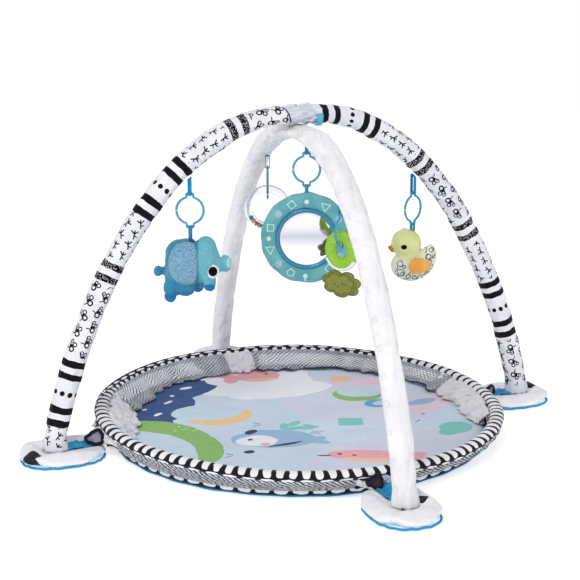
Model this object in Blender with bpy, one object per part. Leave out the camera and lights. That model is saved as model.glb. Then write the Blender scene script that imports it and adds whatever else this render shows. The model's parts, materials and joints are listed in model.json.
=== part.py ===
"""Activity play gym: a round padded mat with a raisable wall, two crossing arches and five hanging toys.

Metres, +Z up, origin on the floor at the mat's centre.  The patterned arch runs along X and folds
about the line through its two feet.  The white arch runs along Y, under the patterned one.
Every sub-part is its own object.  Pieces that meet keep a seam of about 0.3 mm.
"""
import math

import bmesh
import bpy
from mathutils import Matrix, Vector

# ---- driving sizes ---------------------------------------------------------------------------
SEAM = 0.0003                # gap kept between pieces that meet

# arches
FOOT_REACH = 0.470           # mat centre to each arch foot
HINGE_Z = 0.0282             # height of the pins in the feet
PATTERN_CROWN_Z = 0.598      # centreline of the patterned arch at its crown
WHITE_CROWN_Z = 0.568        # centreline of the white arch at its crown
ARCH_SPREAD = 2.351          # superellipse exponents of the arch outline
ARCH_RISE = 1.247
ARCH_STEPS = 30              # straight runs along an arch, the same for its tubes and its sleeve
TUBE_RADIUS = 0.0070
TUBE_BORE = 0.0050
TUBE_START = 0.012           # tube end, measured up the arch from the pin
SPIGOT_RADIUS = 0.0046
FERRULE_HALF = 0.030
FERRULE_COLLAR_HALF = 0.0018
PLUG_NECK = 0.045
SLEEVE_START = 0.034         # sleeve hem, measured up the arch from the pin
SLEEVE_BORE = 0.0076
PATTERN_SLEEVE_RADIUS = 0.0210
WHITE_SLEEVE_RADIUS = 0.0205
CROWN_HALF_HEIGHT = 0.0135   # both sleeves are pressed flat where they cross
CROWN_HALF_WIDTH = 0.0245
CROWN_FLAT = 0.035           # half length of the flattest stretch
CROWN_BLEND = 0.150          # where the sleeve is round again
SLEEVE_SIDES = 10
TUBE_SIDES = 8

# feet
PAD_CENTRE = 0.457
PAD_HALF_LENGTH = 0.078
PAD_HALF_WIDTH = 0.062
PAD_TOP = 0.0180
PAD_ROUNDNESS = 2.4
PIN_RADIUS = 0.0040
PIN_HALF = 0.0104
PIN_CLEARANCE = 0.0002
BARREL_RADIUS = 0.0060
BARREL_HALF = 0.0064
EAR_GAP_HALF = 0.0068
EAR_THICKNESS = 0.0040
EAR_HALF_WIDTH = 0.0075
SOCKET_PLATE_TOP = 0.0213
STRAP_WIDTH = 0.024
STRAP_THICKNESS = 0.0016

# mat and wall
MAT_RADIUS = 0.350
COVER_THICKNESS = 0.0035
PADDING_TOP = 0.0158
MAT_TOP = 0.0195
BINDING_THICKNESS = 0.0050
RIM_RADIUS = 0.373           # mat centre to the rim's centreline
RIM_Z = 0.055
RIM_SECTION = 0.0140         # outer radius of the padded rim
RIM_BORE = 0.0032
RIM_SLIT_DEG = 9             # half angle of the seam slit under the rim
HOOP_SECTION = 0.0025
MESH_THICKNESS = 0.0020
GUSSET_THICKNESS = 0.0044
GUSSET_HALF_DEG = 10
PANEL_GAP_DEG = 0.1
MAT_SEGMENTS = 40

# toy links, webbing loops and toys
LINK_HALF = 0.031            # link centre to the rod at either tip
LINK_RING = 0.0245
LINK_ROD = 0.0023
LINK_NECK = 0.0062
LINK_TIP = 0.0036
LINK_SPLIT = 0.0008
WEB_THICKNESS = 0.0014
WEB_HALF_WIDTH = 0.0032
WEB_CLEARANCE = 0.0004
RATTLE_RISE = 0.0180         # link's lower rod to the centre of the ring section resting over it
TEETHER_RISE = 0.0205
CAMERA_SIDE = math.radians(-21)   # most toys face a little to the left of the front

# toy: (x, y) under its arch, height of the link's top rod, turn of the link, turn of the toy
HANGERS = {
    "elephant": (-0.210, 0.0, 0.4675, CAMERA_SIDE, CAMERA_SIDE),
    "duck": (0.232, 0.0, 0.4410, math.radians(27), CAMERA_SIDE),
    "mirror": (0.0, -0.037, 0.5350, CAMERA_SIDE, CAMERA_SIDE),
    "rattle": (0.0, 0.168, 0.4790, math.radians(69), CAMERA_SIDE),
    "teether": (0.0, -0.200, 0.4520, math.radians(41), math.radians(-60)),
}
ON_PATTERN_ARCH = ("elephant", "duck")

FEET = {"right": 0, "back": 90, "left": 180, "front": 270}

COLOURS = {
    "print_white": ((0.86, 0.87, 0.91), 0.85, 0.0),
    "plain_white": ((0.88, 0.88, 0.92), 0.85, 0.0),
    "foot_white": ((0.90, 0.90, 0.93), 0.85, 0.0),
    "tube_plastic": ((0.80, 0.80, 0.82), 0.45, 0.0),
    "socket_plastic": ((0.16, 0.17, 0.20), 0.45, 0.0),
    "web_blue": ((0.05, 0.42, 0.66), 0.80, 0.0),
    "link_blue": ((0.13, 0.55, 0.72), 0.35, 0.0),
    "mat_blue": ((0.15, 0.52, 0.72), 0.85, 0.0),
    "mat_print": ((0.72, 0.81, 0.90), 0.85, 0.0),
    "batting": ((0.93, 0.93, 0.93), 0.95, 0.0),
    "stripe_black": ((0.08, 0.07, 0.10), 0.85, 0.0),
    "mesh_grey": ((0.36, 0.38, 0.43), 0.80, 0.0),
    "hoop_steel": ((0.60, 0.61, 0.63), 0.35, 1.0),
    "elephant_blue": ((0.30, 0.63, 0.74), 0.90, 0.0),
    "ear_grey_blue": ((0.44, 0.60, 0.72), 0.90, 0.0),
    "duck_yellow": ((0.80, 0.83, 0.45), 0.90, 0.0),
    "wing_orange": ((0.92, 0.60, 0.24), 0.90, 0.0),
    "ring_teal": ((0.33, 0.66, 0.70), 0.90, 0.0),
    "bezel_blue": ((0.09, 0.45, 0.66), 0.40, 0.0),
    "mirror_glass": ((0.93, 0.93, 0.95), 0.05, 1.0),
    "clear_plastic": ((0.88, 0.89, 0.93), 0.15, 0.0),
    "teether_green": ((0.50, 0.76, 0.15), 0.55, 0.0),
    "leaf_olive": ((0.40, 0.42, 0.08), 0.50, 0.0),
}


# ---- tools -----------------------------------------------------------------------------------
def clear_scene():
    for obj in list(bpy.data.objects):
        bpy.data.objects.remove(obj, do_unlink=True)


def material(name):
    """The named colour as a Principled material, made once."""
    if name in bpy.data.materials:
        return bpy.data.materials[name]
    colour, roughness, metallic = COLOURS[name]
    made = bpy.data.materials.new(name)
    made.use_nodes = True
    shader = made.node_tree.nodes["Principled BSDF"]
    shader.inputs["Base Color"].default_value = (*colour, 1.0)
    shader.inputs["Roughness"].default_value = roughness
    shader.inputs["Metallic"].default_value = metallic
    made.diffuse_color = (*colour, 1.0)
    return made


def add_object(name, bm, colour, parent=None, turn=0.0):
    """Close a bmesh into a named object, turned about Z and parented."""
    bmesh.ops.recalc_face_normals(bm, faces=bm.faces)
    mesh = bpy.data.meshes.new(name)
    bm.to_mesh(mesh)
    bm.free()
    mesh.shade_smooth()
    mesh.set_sharp_from_angle(angle=math.radians(35))
    mesh.materials.append(material(colour))
    obj = bpy.data.objects.new(name, mesh)
    bpy.context.scene.collection.objects.link(obj)
    obj.rotation_euler.z = turn
    obj.parent = parent
    return obj


def pivot(name, location, turn=0.0, parent=None):
    """An empty on a joint's axis."""
    empty = bpy.data.objects.new(name, None)
    bpy.context.scene.collection.objects.link(empty)
    empty.location = location
    empty.rotation_euler.z = turn
    empty.parent = parent
    return empty


def combine(target, others, operation="UNION"):
    """Apply one exact boolean per other object, then drop the others."""
    bpy.context.view_layer.update()
    for other in others:
        step = target.modifiers.new("combine", "BOOLEAN")
        step.operation = operation
        step.solver = "EXACT"
        step.object = other
        with bpy.context.temp_override(object=target, active_object=target):
            bpy.ops.object.modifier_apply(modifier=step.name)
    for other in others:
        bpy.data.objects.remove(other, do_unlink=True)
    target.data.shade_smooth()
    target.data.set_sharp_from_angle(angle=math.radians(35))
    return target


def bridge(bm, ring_a, ring_b):
    """Quads between two closed rings of the same length."""
    count = len(ring_a)
    for i in range(count):
        j = (i + 1) % count
        bm.faces.new((ring_a[i], ring_a[j], ring_b[j], ring_b[i]))


def turned(profile, segments, start_deg=0.0, sweep_deg=360.0):
    """A closed (radius, z) outline turned about Z, all the way round or over an arc with end caps."""
    bm = bmesh.new()
    full = sweep_deg >= 360.0
    rings = []
    for k in range(segments if full else segments + 1):
        angle = math.radians(start_deg + sweep_deg * k / segments)
        c, s = math.cos(angle), math.sin(angle)
        rings.append([bm.verts.new((r * c, r * s, z)) for r, z in profile])
    for here, there in zip(rings, rings[1:]):
        bridge(bm, here, there)
    if full:
        bridge(bm, rings[-1], rings[0])
    else:
        bm.faces.new(rings[0])
        bm.faces.new(reversed(rings[-1]))
    return bm


def disc(radius, low, high, segments, edge=0.0):
    """A solid disc about Z, with its rim bevelled by edge."""
    bm = bmesh.new()
    layers = [(radius - edge, low), (radius, low + edge), (radius, high - edge), (radius - edge, high)]
    if edge == 0.0:
        layers = [(radius, low), (radius, high)]
    rings = []
    for r, z in layers:
        ring = []
        for k in range(segments):
            angle = math.tau * k / segments
            ring.append(bm.verts.new((r * math.cos(angle), r * math.sin(angle), z)))
        rings.append(ring)
    for here, there in zip(rings, rings[1:]):
        bridge(bm, here, there)
    bm.faces.new(reversed(rings[0]))
    bm.faces.new(rings[-1])
    return bm


def ellipse(half_width, half_height, sides):
    """Section points, starting at the side."""
    points = []
    for k in range(sides):
        angle = math.tau * (k + 0.5) / sides
        points.append((half_width * math.cos(angle), half_height * math.sin(angle)))
    return points


def plane_frames(path):
    """Frames (point, normal) along an XZ-plane path; a corner's normal halves the two runs' normals."""
    frames = []
    for i, point in enumerate(path):
        before = path[max(i - 1, 0)]
        after = path[min(i + 1, len(path) - 1)]
        run_in = Vector(point) - Vector(before)
        run_out = Vector(after) - Vector(point)
        direction = Vector((0.0, 0.0))
        for run in (run_in, run_out):
            if run.length > 0:
                direction += run.normalized()
        direction.normalize()
        frames.append((Vector(point), Vector((-direction.y, direction.x))))
    return frames


def swept(path, outer, inner=None):
    """A rod along an XZ-plane path.  outer(i) and inner(i) give the section points at path point i."""
    bm = bmesh.new()

    def rings_of(section):
        rings = []
        for i, (point, normal) in enumerate(plane_frames(path)):
            ring = []
            for side, rise in section(i):
                spot = point + normal * rise
                ring.append(bm.verts.new((spot.x, side, spot.y)))
            rings.append(ring)
        for here, there in zip(rings, rings[1:]):
            bridge(bm, here, there)
        return rings

    outside = rings_of(outer)
    if inner is None:
        bm.faces.new(outside[0])
        bm.faces.new(outside[-1])
    else:
        inside = rings_of(inner)
        for end in (0, -1):
            cap_ring(bm, outside[end], inside[end])
    return bm


def cap_ring(bm, outside, inside):
    """Close the ring-shaped end between an outer and an inner section of any two side counts."""
    edges = []
    for ring in (outside, inside):
        for i, vert in enumerate(ring):
            edges.append(bm.edges.get((vert, ring[(i + 1) % len(ring)])))
    bmesh.ops.triangle_fill(bm, use_beauty=True, edges=edges)


def ball(centre, radii, segments=10, rings=6):
    """A loose ellipsoid, to be combined into a toy."""
    bm = bmesh.new()
    bmesh.ops.create_uvsphere(bm, u_segments=segments, v_segments=rings, radius=1.0)
    bmesh.ops.transform(bm, matrix=Matrix.Diagonal((*radii, 1.0)), verts=bm.verts)
    bmesh.ops.translate(bm, vec=centre, verts=bm.verts)
    return add_object("ball", bm, "batting")


def box(low, high):
    """A loose box, to be combined."""
    bm = bmesh.new()
    bmesh.ops.create_cube(bm, size=1.0)
    size = Vector(high) - Vector(low)
    bmesh.ops.transform(bm, matrix=Matrix.Diagonal((*size, 1.0)), verts=bm.verts)
    bmesh.ops.translate(bm, vec=(Vector(low) + Vector(high)) / 2, verts=bm.verts)
    return add_object("box", bm, "batting")


def pin(centre, radius, half, sides=16):
    """A loose cylinder along X, to be combined."""
    bm = bmesh.new()
    bmesh.ops.create_cone(bm, cap_ends=True, segments=sides, radius1=radius, radius2=radius, depth=2 * half)
    bmesh.ops.rotate(bm, cent=(0, 0, 0), matrix=Matrix.Rotation(math.pi / 2, 3, "Y"), verts=bm.verts)
    bmesh.ops.translate(bm, vec=centre, verts=bm.verts)
    return add_object("pin", bm, "batting")


def torus_section(major, half_width, half_depth, sides):
    """Outline of a turned ring whose section is an ellipse."""
    return [(major + a, b) for a, b in ellipse(half_width, half_depth, sides)]


# ---- arch outline ----------------------------------------------------------------------------
def arch_height(along, crown_z):
    """Centreline height above the floor at a distance from the crown."""
    cosine = min(abs(along) / FOOT_REACH, 1.0) ** (ARCH_SPREAD / 2)
    sine = math.sqrt(max(1.0 - cosine * cosine, 0.0))
    return HINGE_Z + (crown_z - HINGE_Z) * sine ** (2 / ARCH_RISE)


def arch_path(crown_z):
    """Evenly spaced corners of the arch's centreline, foot to foot, with heights above the pins."""
    fine = []
    for k in range(2001):
        angle = math.pi * (1 - k / 2000)
        cosine, sine = math.cos(angle), math.sin(angle)
        along = math.copysign(abs(cosine) ** (2 / ARCH_SPREAD), cosine) * FOOT_REACH
        fine.append(Vector((along, (crown_z - HINGE_Z) * max(sine, 0.0) ** (2 / ARCH_RISE))))
    total = sum((b - a).length for a, b in zip(fine, fine[1:]))
    corners = [fine[0]]
    walked = 0.0
    for a, b in zip(fine, fine[1:]):
        step = (b - a).length
        while len(corners) < ARCH_STEPS and walked + step >= total * len(corners) / ARCH_STEPS:
            share = (total * len(corners) / ARCH_STEPS - walked) / step
            corners.append(a.lerp(b, share))
        walked += step
    corners.append(fine[-1])
    return corners


def stretch(corners, start, end):
    """The part of a cornered path between two distances along it."""
    out = []
    walked = 0.0
    for a, b in zip(corners, corners[1:]):
        step = (b - a).length
        for mark in (start, end):
            if walked <= mark < walked + step:
                out.append((mark, a.lerp(b, (mark - walked) / step)))
        if start < walked < end:
            out.append((walked, a))
        walked += step
    return [point for _, point in sorted(out, key=lambda pair: pair[0])]


def path_length(corners):
    return sum((b - a).length for a, b in zip(corners, corners[1:]))


def sleeve_section(along, radius):
    """Half width and half height of a sleeve: pressed flat where the arches cross."""
    share = (abs(along) - CROWN_FLAT) / (CROWN_BLEND - CROWN_FLAT)
    share = min(max(share, 0.0), 1.0) ** 2
    half_width = CROWN_HALF_WIDTH + (radius - CROWN_HALF_WIDTH) * share
    half_height = CROWN_HALF_HEIGHT + (radius - CROWN_HALF_HEIGHT) * share
    return half_width, half_height


# ---- arches ----------------------------------------------------------------------------------
def make_arch(label, crown_z, sleeve_radius, sleeve_colour, ends, parent, turn):
    """Two half tubes joined by a ferrule, a plug with a pin in each end, and a padded sleeve."""
    corners = arch_path(crown_z)
    total = path_length(corners)
    middle = total / 2

    halves = ((TUBE_START, middle - FERRULE_COLLAR_HALF - SEAM),
              (middle + FERRULE_COLLAR_HALF + SEAM, total - TUBE_START))
    for end, (start, stop) in zip(ends, halves):
        path = stretch(corners, start, stop)
        bm = swept(path, lambda i: ellipse(TUBE_RADIUS, TUBE_RADIUS, TUBE_SIDES),
                   lambda i: ellipse(TUBE_BORE, TUBE_BORE, TUBE_SIDES))
        add_object(f"{label}_tube_{end}", bm, "tube_plastic", parent, turn)

    marks = (-FERRULE_HALF, -FERRULE_COLLAR_HALF, -FERRULE_COLLAR_HALF + 1e-5,
             FERRULE_COLLAR_HALF - 1e-5, FERRULE_COLLAR_HALF, FERRULE_HALF)
    radii = (SPIGOT_RADIUS, SPIGOT_RADIUS, TUBE_RADIUS, TUBE_RADIUS, SPIGOT_RADIUS, SPIGOT_RADIUS)
    path = [stretch(corners, middle + mark, total * 0.999)[0] for mark in marks]
    bm = swept(path, lambda i: ellipse(radii[i], radii[i], TUBE_SIDES))
    add_object(f"{label}_ferrule", bm, "socket_plastic", parent, turn)

    for end, side in zip(ends, (-1, 1)):
        neck = stretch(corners, 0.0005, PLUG_NECK)
        neck = [Vector((-side * point.x, point.y)) for point in neck]
        plug = add_object(f"{label}_plug_{end}", swept(neck, lambda i: ellipse(
            SPIGOT_RADIUS, SPIGOT_RADIUS, TUBE_SIDES)), "socket_plastic")
        centre = (side * FOOT_REACH, 0, 0)
        combine(plug, [pin(centre, BARREL_RADIUS, BARREL_HALF), pin(centre, PIN_RADIUS, PIN_HALF)])
        plug.rotation_euler.z = turn
        plug.parent = parent

    path = stretch(corners, SLEEVE_START, total - SLEEVE_START)

    def outer(i):
        half_width, half_height = sleeve_section(path[i].x, sleeve_radius)
        return ellipse(half_width, half_height, SLEEVE_SIDES)

    bm = swept(path, outer, lambda i: ellipse(SLEEVE_BORE, SLEEVE_BORE, TUBE_SIDES))
    add_object(f"{label}_sleeve", bm, sleeve_colour, parent, turn)


# ---- feet ------------------------------------------------------------------------------------
def make_foot(label, turn_deg):
    """A padded foot, a two-eared socket for the arch's pin, and the webbing that ties it to the mat."""
    turn = math.radians(turn_deg)
    bm = bmesh.new()
    layers = ((0.0, 0.94), (0.0055, 1.0), (0.0115, 0.965), (0.0160, 0.86), (PAD_TOP, 0.62))
    rings = []
    sides = 24
    for z, scale in layers:
        ring = []
        for k in range(sides):
            angle = math.tau * k / sides
            c, s = math.cos(angle), math.sin(angle)
            x = math.copysign(abs(c) ** (2 / PAD_ROUNDNESS), c) * PAD_HALF_LENGTH * scale
            y = math.copysign(abs(s) ** (2 / PAD_ROUNDNESS), s) * PAD_HALF_WIDTH * scale
            ring.append(bm.verts.new((PAD_CENTRE + x, y, z)))
        rings.append(ring)
    for here, there in zip(rings, rings[1:]):
        bridge(bm, here, there)
    bm.faces.new(reversed(rings[0]))
    bm.faces.new(rings[-1])
    add_object(f"foot_pad_{label}", bm, "foot_white", None, turn)

    plate = box((FOOT_REACH - 0.017, -0.014, PAD_TOP + SEAM), (FOOT_REACH + 0.017, 0.014, SOCKET_PLATE_TOP))
    plate.name = f"foot_socket_{label}"
    plate.data.materials.clear()
    plate.data.materials.append(material("socket_plastic"))
    ears = []
    for side in (-1, 1):
        near, far = sorted((side * EAR_GAP_HALF, side * (EAR_GAP_HALF + EAR_THICKNESS)))
        ears.append(box((FOOT_REACH + near, -EAR_HALF_WIDTH, SOCKET_PLATE_TOP - 0.001),
                        (FOOT_REACH + far, EAR_HALF_WIDTH, HINGE_Z)))
        centre = (FOOT_REACH + (near + far) / 2, 0, HINGE_Z)
        ears.append(pin(centre, EAR_HALF_WIDTH, EAR_THICKNESS / 2))
    combine(plate, ears)
    bore = pin((FOOT_REACH, 0, HINGE_Z), PIN_RADIUS + PIN_CLEARANCE, 0.03)
    combine(plate, [bore], "DIFFERENCE")
    plate.rotation_euler.z = turn

    path = [Vector((0.4495, 0.0205)), Vector((0.4050, 0.0205)), Vector((0.3860, 0.0240)),
            Vector((0.3745, 0.0300))]
    half = STRAP_THICKNESS / 2
    section = [(-STRAP_WIDTH / 2, -half), (STRAP_WIDTH / 2, -half), (STRAP_WIDTH / 2, half),
               (-STRAP_WIDTH / 2, half)]
    add_object(f"foot_strap_{label}", swept(path, lambda i: section), "web_blue", None, turn)


# ---- mat and wall ----------------------------------------------------------------------------
def make_mat():
    """Bottom cover, padding, printed top cover and the binding round the edge."""
    bm = disc(MAT_RADIUS, 0.0, COVER_THICKNESS, MAT_SEGMENTS)
    add_object("mat_base_cover", bm, "mat_blue")
    bm = disc(MAT_RADIUS - 0.004, COVER_THICKNESS + SEAM, PADDING_TOP, MAT_SEGMENTS)
    add_object("mat_padding", bm, "batting")
    bm = disc(MAT_RADIUS - 0.001, PADDING_TOP + SEAM, MAT_TOP, MAT_SEGMENTS)
    add_object("mat_top_cover", bm, "mat_print")
    inside = MAT_RADIUS + SEAM
    outside = inside + BINDING_THICKNESS
    profile = [(inside, 0.003), (outside - 0.001, 0.003), (outside, 0.005),
               (outside, MAT_TOP - 0.003), (outside - 0.002, MAT_TOP), (inside, MAT_TOP)]
    add_object("base_binding", turned(profile, MAT_SEGMENTS), "stripe_black")


def wall_profile(thickness):
    """The leaning strip between the binding and the rim."""
    low = (MAT_RADIUS + 0.0035, MAT_TOP + SEAM)
    high = (RIM_RADIUS - 0.0010, RIM_Z - RIM_SECTION - SEAM)
    half = thickness / 2
    return [(low[0] - half, low[1]), (low[0] + half, low[1]), (high[0] + half, high[1]),
            (high[0] - half, high[1])]


def make_wall():
    """Four net panels with a padded gusset between each pair, one at each foot."""
    for k, label in enumerate(FEET):
        foot_deg = 90 * k
        bm = turned(wall_profile(GUSSET_THICKNESS), 3, foot_deg - GUSSET_HALF_DEG, 2 * GUSSET_HALF_DEG)
        add_object(f"wall_gusset_{label}", bm, "foot_white")
    panel_deg = 90 - 2 * GUSSET_HALF_DEG - 2 * PANEL_GAP_DEG
    names = ("back_right", "back_left", "front_left", "front_right")
    for k, label in enumerate(names):
        start = 90 * k + GUSSET_HALF_DEG + PANEL_GAP_DEG
        bm = turned(wall_profile(MESH_THICKNESS), 9, start, panel_deg)
        add_object(f"mesh_wall_{label}", bm, "mesh_grey")


def make_rim(parent):
    """The padded rim, slit underneath where the wall is sewn in, and the springy hoop in it."""
    first = -90 + RIM_SLIT_DEG
    outer_steps, inner_steps = 10, 5
    profile = []
    for radius, steps, way in ((RIM_SECTION, outer_steps, 1), (RIM_BORE, inner_steps, -1)):
        for k in range(steps + 1):
            share = k / steps if way > 0 else 1 - k / steps
            angle = math.radians(first + (360 - 2 * RIM_SLIT_DEG) * share)
            profile.append((RIM_RADIUS + radius * math.cos(angle), radius * math.sin(angle)))
    add_object("rim_piping", turned(profile, MAT_SEGMENTS), "stripe_black", parent)
    section = torus_section(RIM_RADIUS, HOOP_SECTION, HOOP_SECTION, 5)
    add_object("rim_hoop", turned(section, MAT_SEGMENTS), "hoop_steel", parent)


# ---- toy links and webbing -------------------------------------------------------------------
def web_loop(top, bottom, half_length, slant=0.0):
    """A closed webbing loop lying in the YZ plane.  top and bottom are its inner ends; slant tips the top."""
    bm = bmesh.new()

    def outline(grow):
        wide = WEB_HALF_WIDTH + grow
        high, low = top + grow, bottom - grow
        cut = wide * 0.45
        return [(wide, low + cut), (wide, high - cut), (wide - cut, high), (cut - wide, high),
                (-wide, high - cut), (-wide, low + cut), (cut - wide, low), (wide - cut, low)]

    rings = {}
    for key, grow in (("inner", 0.0), ("outer", WEB_THICKNESS)):
        for end in (-1, 1):
            ring = []
            for y, z in outline(grow):
                tip = slant * end * half_length if z > (top + bottom) / 2 else 0.0
                ring.append(bm.verts.new((end * half_length, y, z + tip)))
            rings[key, end] = ring
    for key in ("inner", "outer"):
        bridge(bm, rings[key, -1], rings[key, 1])
    for end in (-1, 1):
        bridge(bm, rings["inner", end], rings["outer", end])
    return bm


def link_path():
    """Centreline of the split ring with a narrow tip at each end, centred on z = -LINK_HALF."""
    start_angle = math.asin(LINK_NECK / LINK_RING)
    quarter = [(LINK_TIP, LINK_HALF), (LINK_NECK - 0.0004, LINK_HALF - 0.0014),
               (LINK_NECK, LINK_HALF - 0.0036)]
    steps = 5
    for k in range(steps + 1):
        angle = start_angle + (math.pi / 2 - start_angle) * k / steps
        quarter.append((LINK_RING * math.sin(angle), LINK_RING * math.cos(angle)))
    right = quarter + [(x, -z) for x, z in reversed(quarter[:-1])]
    left = [(-x, z) for x, z in right]
    upper = [(-LINK_RING, LINK_SPLIT)] + list(reversed(left[:len(quarter) - 1]))
    lower = list(reversed(left[len(quarter):])) + [(-LINK_RING, -LINK_SPLIT)]
    return [Vector((x, z - LINK_HALF)) for x, z in upper + right + lower]


def sleeve_underside(name):
    """Height of the sleeve's underside above a hanger, and its slope along the arch."""
    x, y = HANGERS[name][:2]
    patterned = name in ON_PATTERN_ARCH
    along = x if patterned else y
    crown = PATTERN_CROWN_Z if patterned else WHITE_CROWN_Z
    radius = PATTERN_SLEEVE_RADIUS if patterned else WHITE_SLEEVE_RADIUS
    step = 0.004
    slope = (arch_height(along + step, crown) - arch_height(along - step, crown)) / (2 * step)
    half_height = sleeve_section(along, radius)[1]
    return arch_height(along, crown) - half_height * math.hypot(1, slope), slope


def make_hanger(name, arch_pivot):
    """The webbing loop on the arch, and the split link that hangs in it.  Returns the toy's pivot."""
    x, y, top_z, link_turn, _ = HANGERS[name]
    patterned = name in ON_PATTERN_ARCH
    parent = arch_pivot if patterned else None
    base_z = HINGE_Z if patterned else 0.0
    under, slope = sleeve_underside(name)
    arch_turn = 0.0 if patterned else math.pi / 2
    slant = slope * math.cos(link_turn - arch_turn)
    half_length = LINK_TIP - 0.0002
    inner_bottom = -LINK_ROD - WEB_CLEARANCE
    inner_top = under - top_z - WEB_THICKNESS - 0.0022 - abs(slope) * (WEB_HALF_WIDTH + WEB_THICKNESS)
    loop = add_object(f"{name}_web_loop", web_loop(inner_top, inner_bottom, half_length, slant),
                      "web_blue", parent, link_turn)
    loop.location = (x, y, top_z - base_z)

    swing = pivot(f"{name}_link_pivot", (x, y, top_z - base_z), link_turn, parent)
    rod = swept(link_path(), lambda i: ellipse(LINK_ROD, LINK_ROD, 6))
    add_object(f"{name}_link", rod, "link_blue", swing)
    return pivot(f"{name}_pivot", (0, 0, -2 * LINK_HALF), 0.0, swing)


def toy_tab(bottom, turn):
    """The webbing tab of a toy, round the link's lower rod, turned back to the link's direction."""
    bm = web_loop(LINK_ROD + WEB_CLEARANCE, bottom, LINK_TIP - 0.0002)
    bmesh.ops.rotate(bm, cent=(0, 0, 0), matrix=Matrix.Rotation(turn, 3, "Z"), verts=bm.verts)
    return add_object("tab", bm, "batting")


def toy_from(name, balls, colour, parent, turn, extras=(), cuts=()):
    """Combine ellipsoids (centre, radii) and other loose pieces into one toy body."""
    pieces = [ball(centre, radii) for centre, radii in balls]
    body = pieces[0]
    body.name = name
    combine(body, pieces[1:] + list(extras))
    combine(body, list(cuts), "DIFFERENCE")
    body.data.materials.clear()
    body.data.materials.append(material(colour))
    body.rotation_euler.z = turn
    body.parent = parent
    return body


# ---- toys ------------------------------------------------------------------------------------
def make_elephant(parent, turn):
    """A plush elephant, seen from its right side, with an ear on each side."""
    balls = [((-0.009, 0, -0.065), (0.042, 0.030, 0.046)),
             ((0.023, 0, -0.057), (0.029, 0.027, 0.042)),
             ((0.046, 0, -0.069), (0.018, 0.015, 0.016)),
             ((0.064, 0, -0.066), (0.013, 0.012, 0.017)),
             ((-0.055, 0, -0.079), (0.015, 0.008, 0.009)),
             ((-0.039, -0.012, -0.106), (0.012, 0.012, 0.032)),
             ((-0.013, 0.012, -0.106), (0.013, 0.012, 0.022)),
             ((0.010, 0.012, -0.102), (0.011, 0.012, 0.023)),
             ((0.032, -0.012, -0.092), (0.011, 0.012, 0.025))]
    toy_from("elephant_body", balls, "elephant_blue", parent, turn, [toy_tab(-0.026, 0.0)])
    for side, label in ((-1, "near"), (1, "far")):
        ear = ball((-0.014, side * 0.0340, -0.062), (0.026, 0.0035, 0.034))
        ear.name = f"elephant_ear_{label}"
        ear.data.materials.clear()
        ear.data.materials.append(material("ear_grey_blue"))
        ear.rotation_euler.z = turn
        ear.parent = parent


def make_duck(parent, turn, link_turn):
    """A plush duckling with a wing on each side."""
    balls = [((-0.002, 0, -0.079), (0.041, 0.027, 0.034)),
             ((-0.011, 0, -0.036), (0.028, 0.025, 0.029)),
             ((0.033, 0, -0.056), (0.012, 0.010, 0.019)),
             ((-0.040, 0, -0.049), (0.010, 0.008, 0.006))]
    toy_from("duck_body", balls, "duck_yellow", parent, turn, [toy_tab(-0.022, link_turn - turn)])
    for side, label in ((-1, "near"), (1, "far")):
        wing = ball((0.012, side * 0.0312, -0.080), (0.021, 0.0035, 0.014))
        wing.name = f"duck_wing_{label}"
        wing.data.materials.clear()
        wing.data.materials.append(material("wing_orange"))
        wing.rotation_euler.z = turn
        wing.parent = parent


def stand_up(bm, drop):
    """Turn a piece made about Z so its axis lies along Y, and lower its centre."""
    bmesh.ops.rotate(bm, cent=(0, 0, 0), matrix=Matrix.Rotation(math.pi / 2, 3, "X"), verts=bm.verts)
    bmesh.ops.translate(bm, vec=(0, 0, -drop), verts=bm.verts)
    return bm


def make_mirror(parent, turn):
    """A plush ring round a plastic shell that holds the mirror disc."""
    drop = 0.0955
    segments = 32
    ring = add_object("mirror_ring", stand_up(turned(torus_section(0.0690, 0.0150, 0.0125, 10), segments),
                                              drop), "ring_teal")
    combine(ring, [toy_tab(-0.0185, 0.0)])
    profile = [(0.0, -0.0070), (0.0510, -0.0070), (0.0532, -0.0045), (0.0532, 0.0060), (0.0510, 0.0085),
               (0.0480, 0.0085), (0.0468, 0.0060), (0.0468, -0.0020), (0.0, -0.0020)]
    shell = turned(profile, segments)
    bmesh.ops.remove_doubles(shell, verts=shell.verts, dist=1e-6)
    shell = add_object("mirror_shell", stand_up(shell, drop), "bezel_blue")
    glass = disc(0.0464, -0.0017, 0.0008, segments)
    glass = add_object("mirror_glass", stand_up(glass, drop), "mirror_glass")
    for piece in (ring, shell, glass):
        piece.rotation_euler.z = turn
        piece.parent = parent


def make_rattle(parent, turn):
    """A clear tube bent into a ring, slit round its inside where its two skins are welded."""
    major, tube, wall = 0.0370, 0.0080, 0.0016
    drop = major - RATTLE_RISE
    slit = 8
    profile = []
    for radius, steps, way in ((tube, 8, 1), (tube - wall, 6, -1)):
        for k in range(steps + 1):
            share = k / steps if way > 0 else 1 - k / steps
            angle = math.radians(180 + slit + (360 - 2 * slit) * share)
            profile.append((major + radius * math.cos(angle), radius * math.sin(angle)))
    add_object("rattle_ring", stand_up(turned(profile, 24), drop), "clear_plastic", parent, turn)


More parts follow.
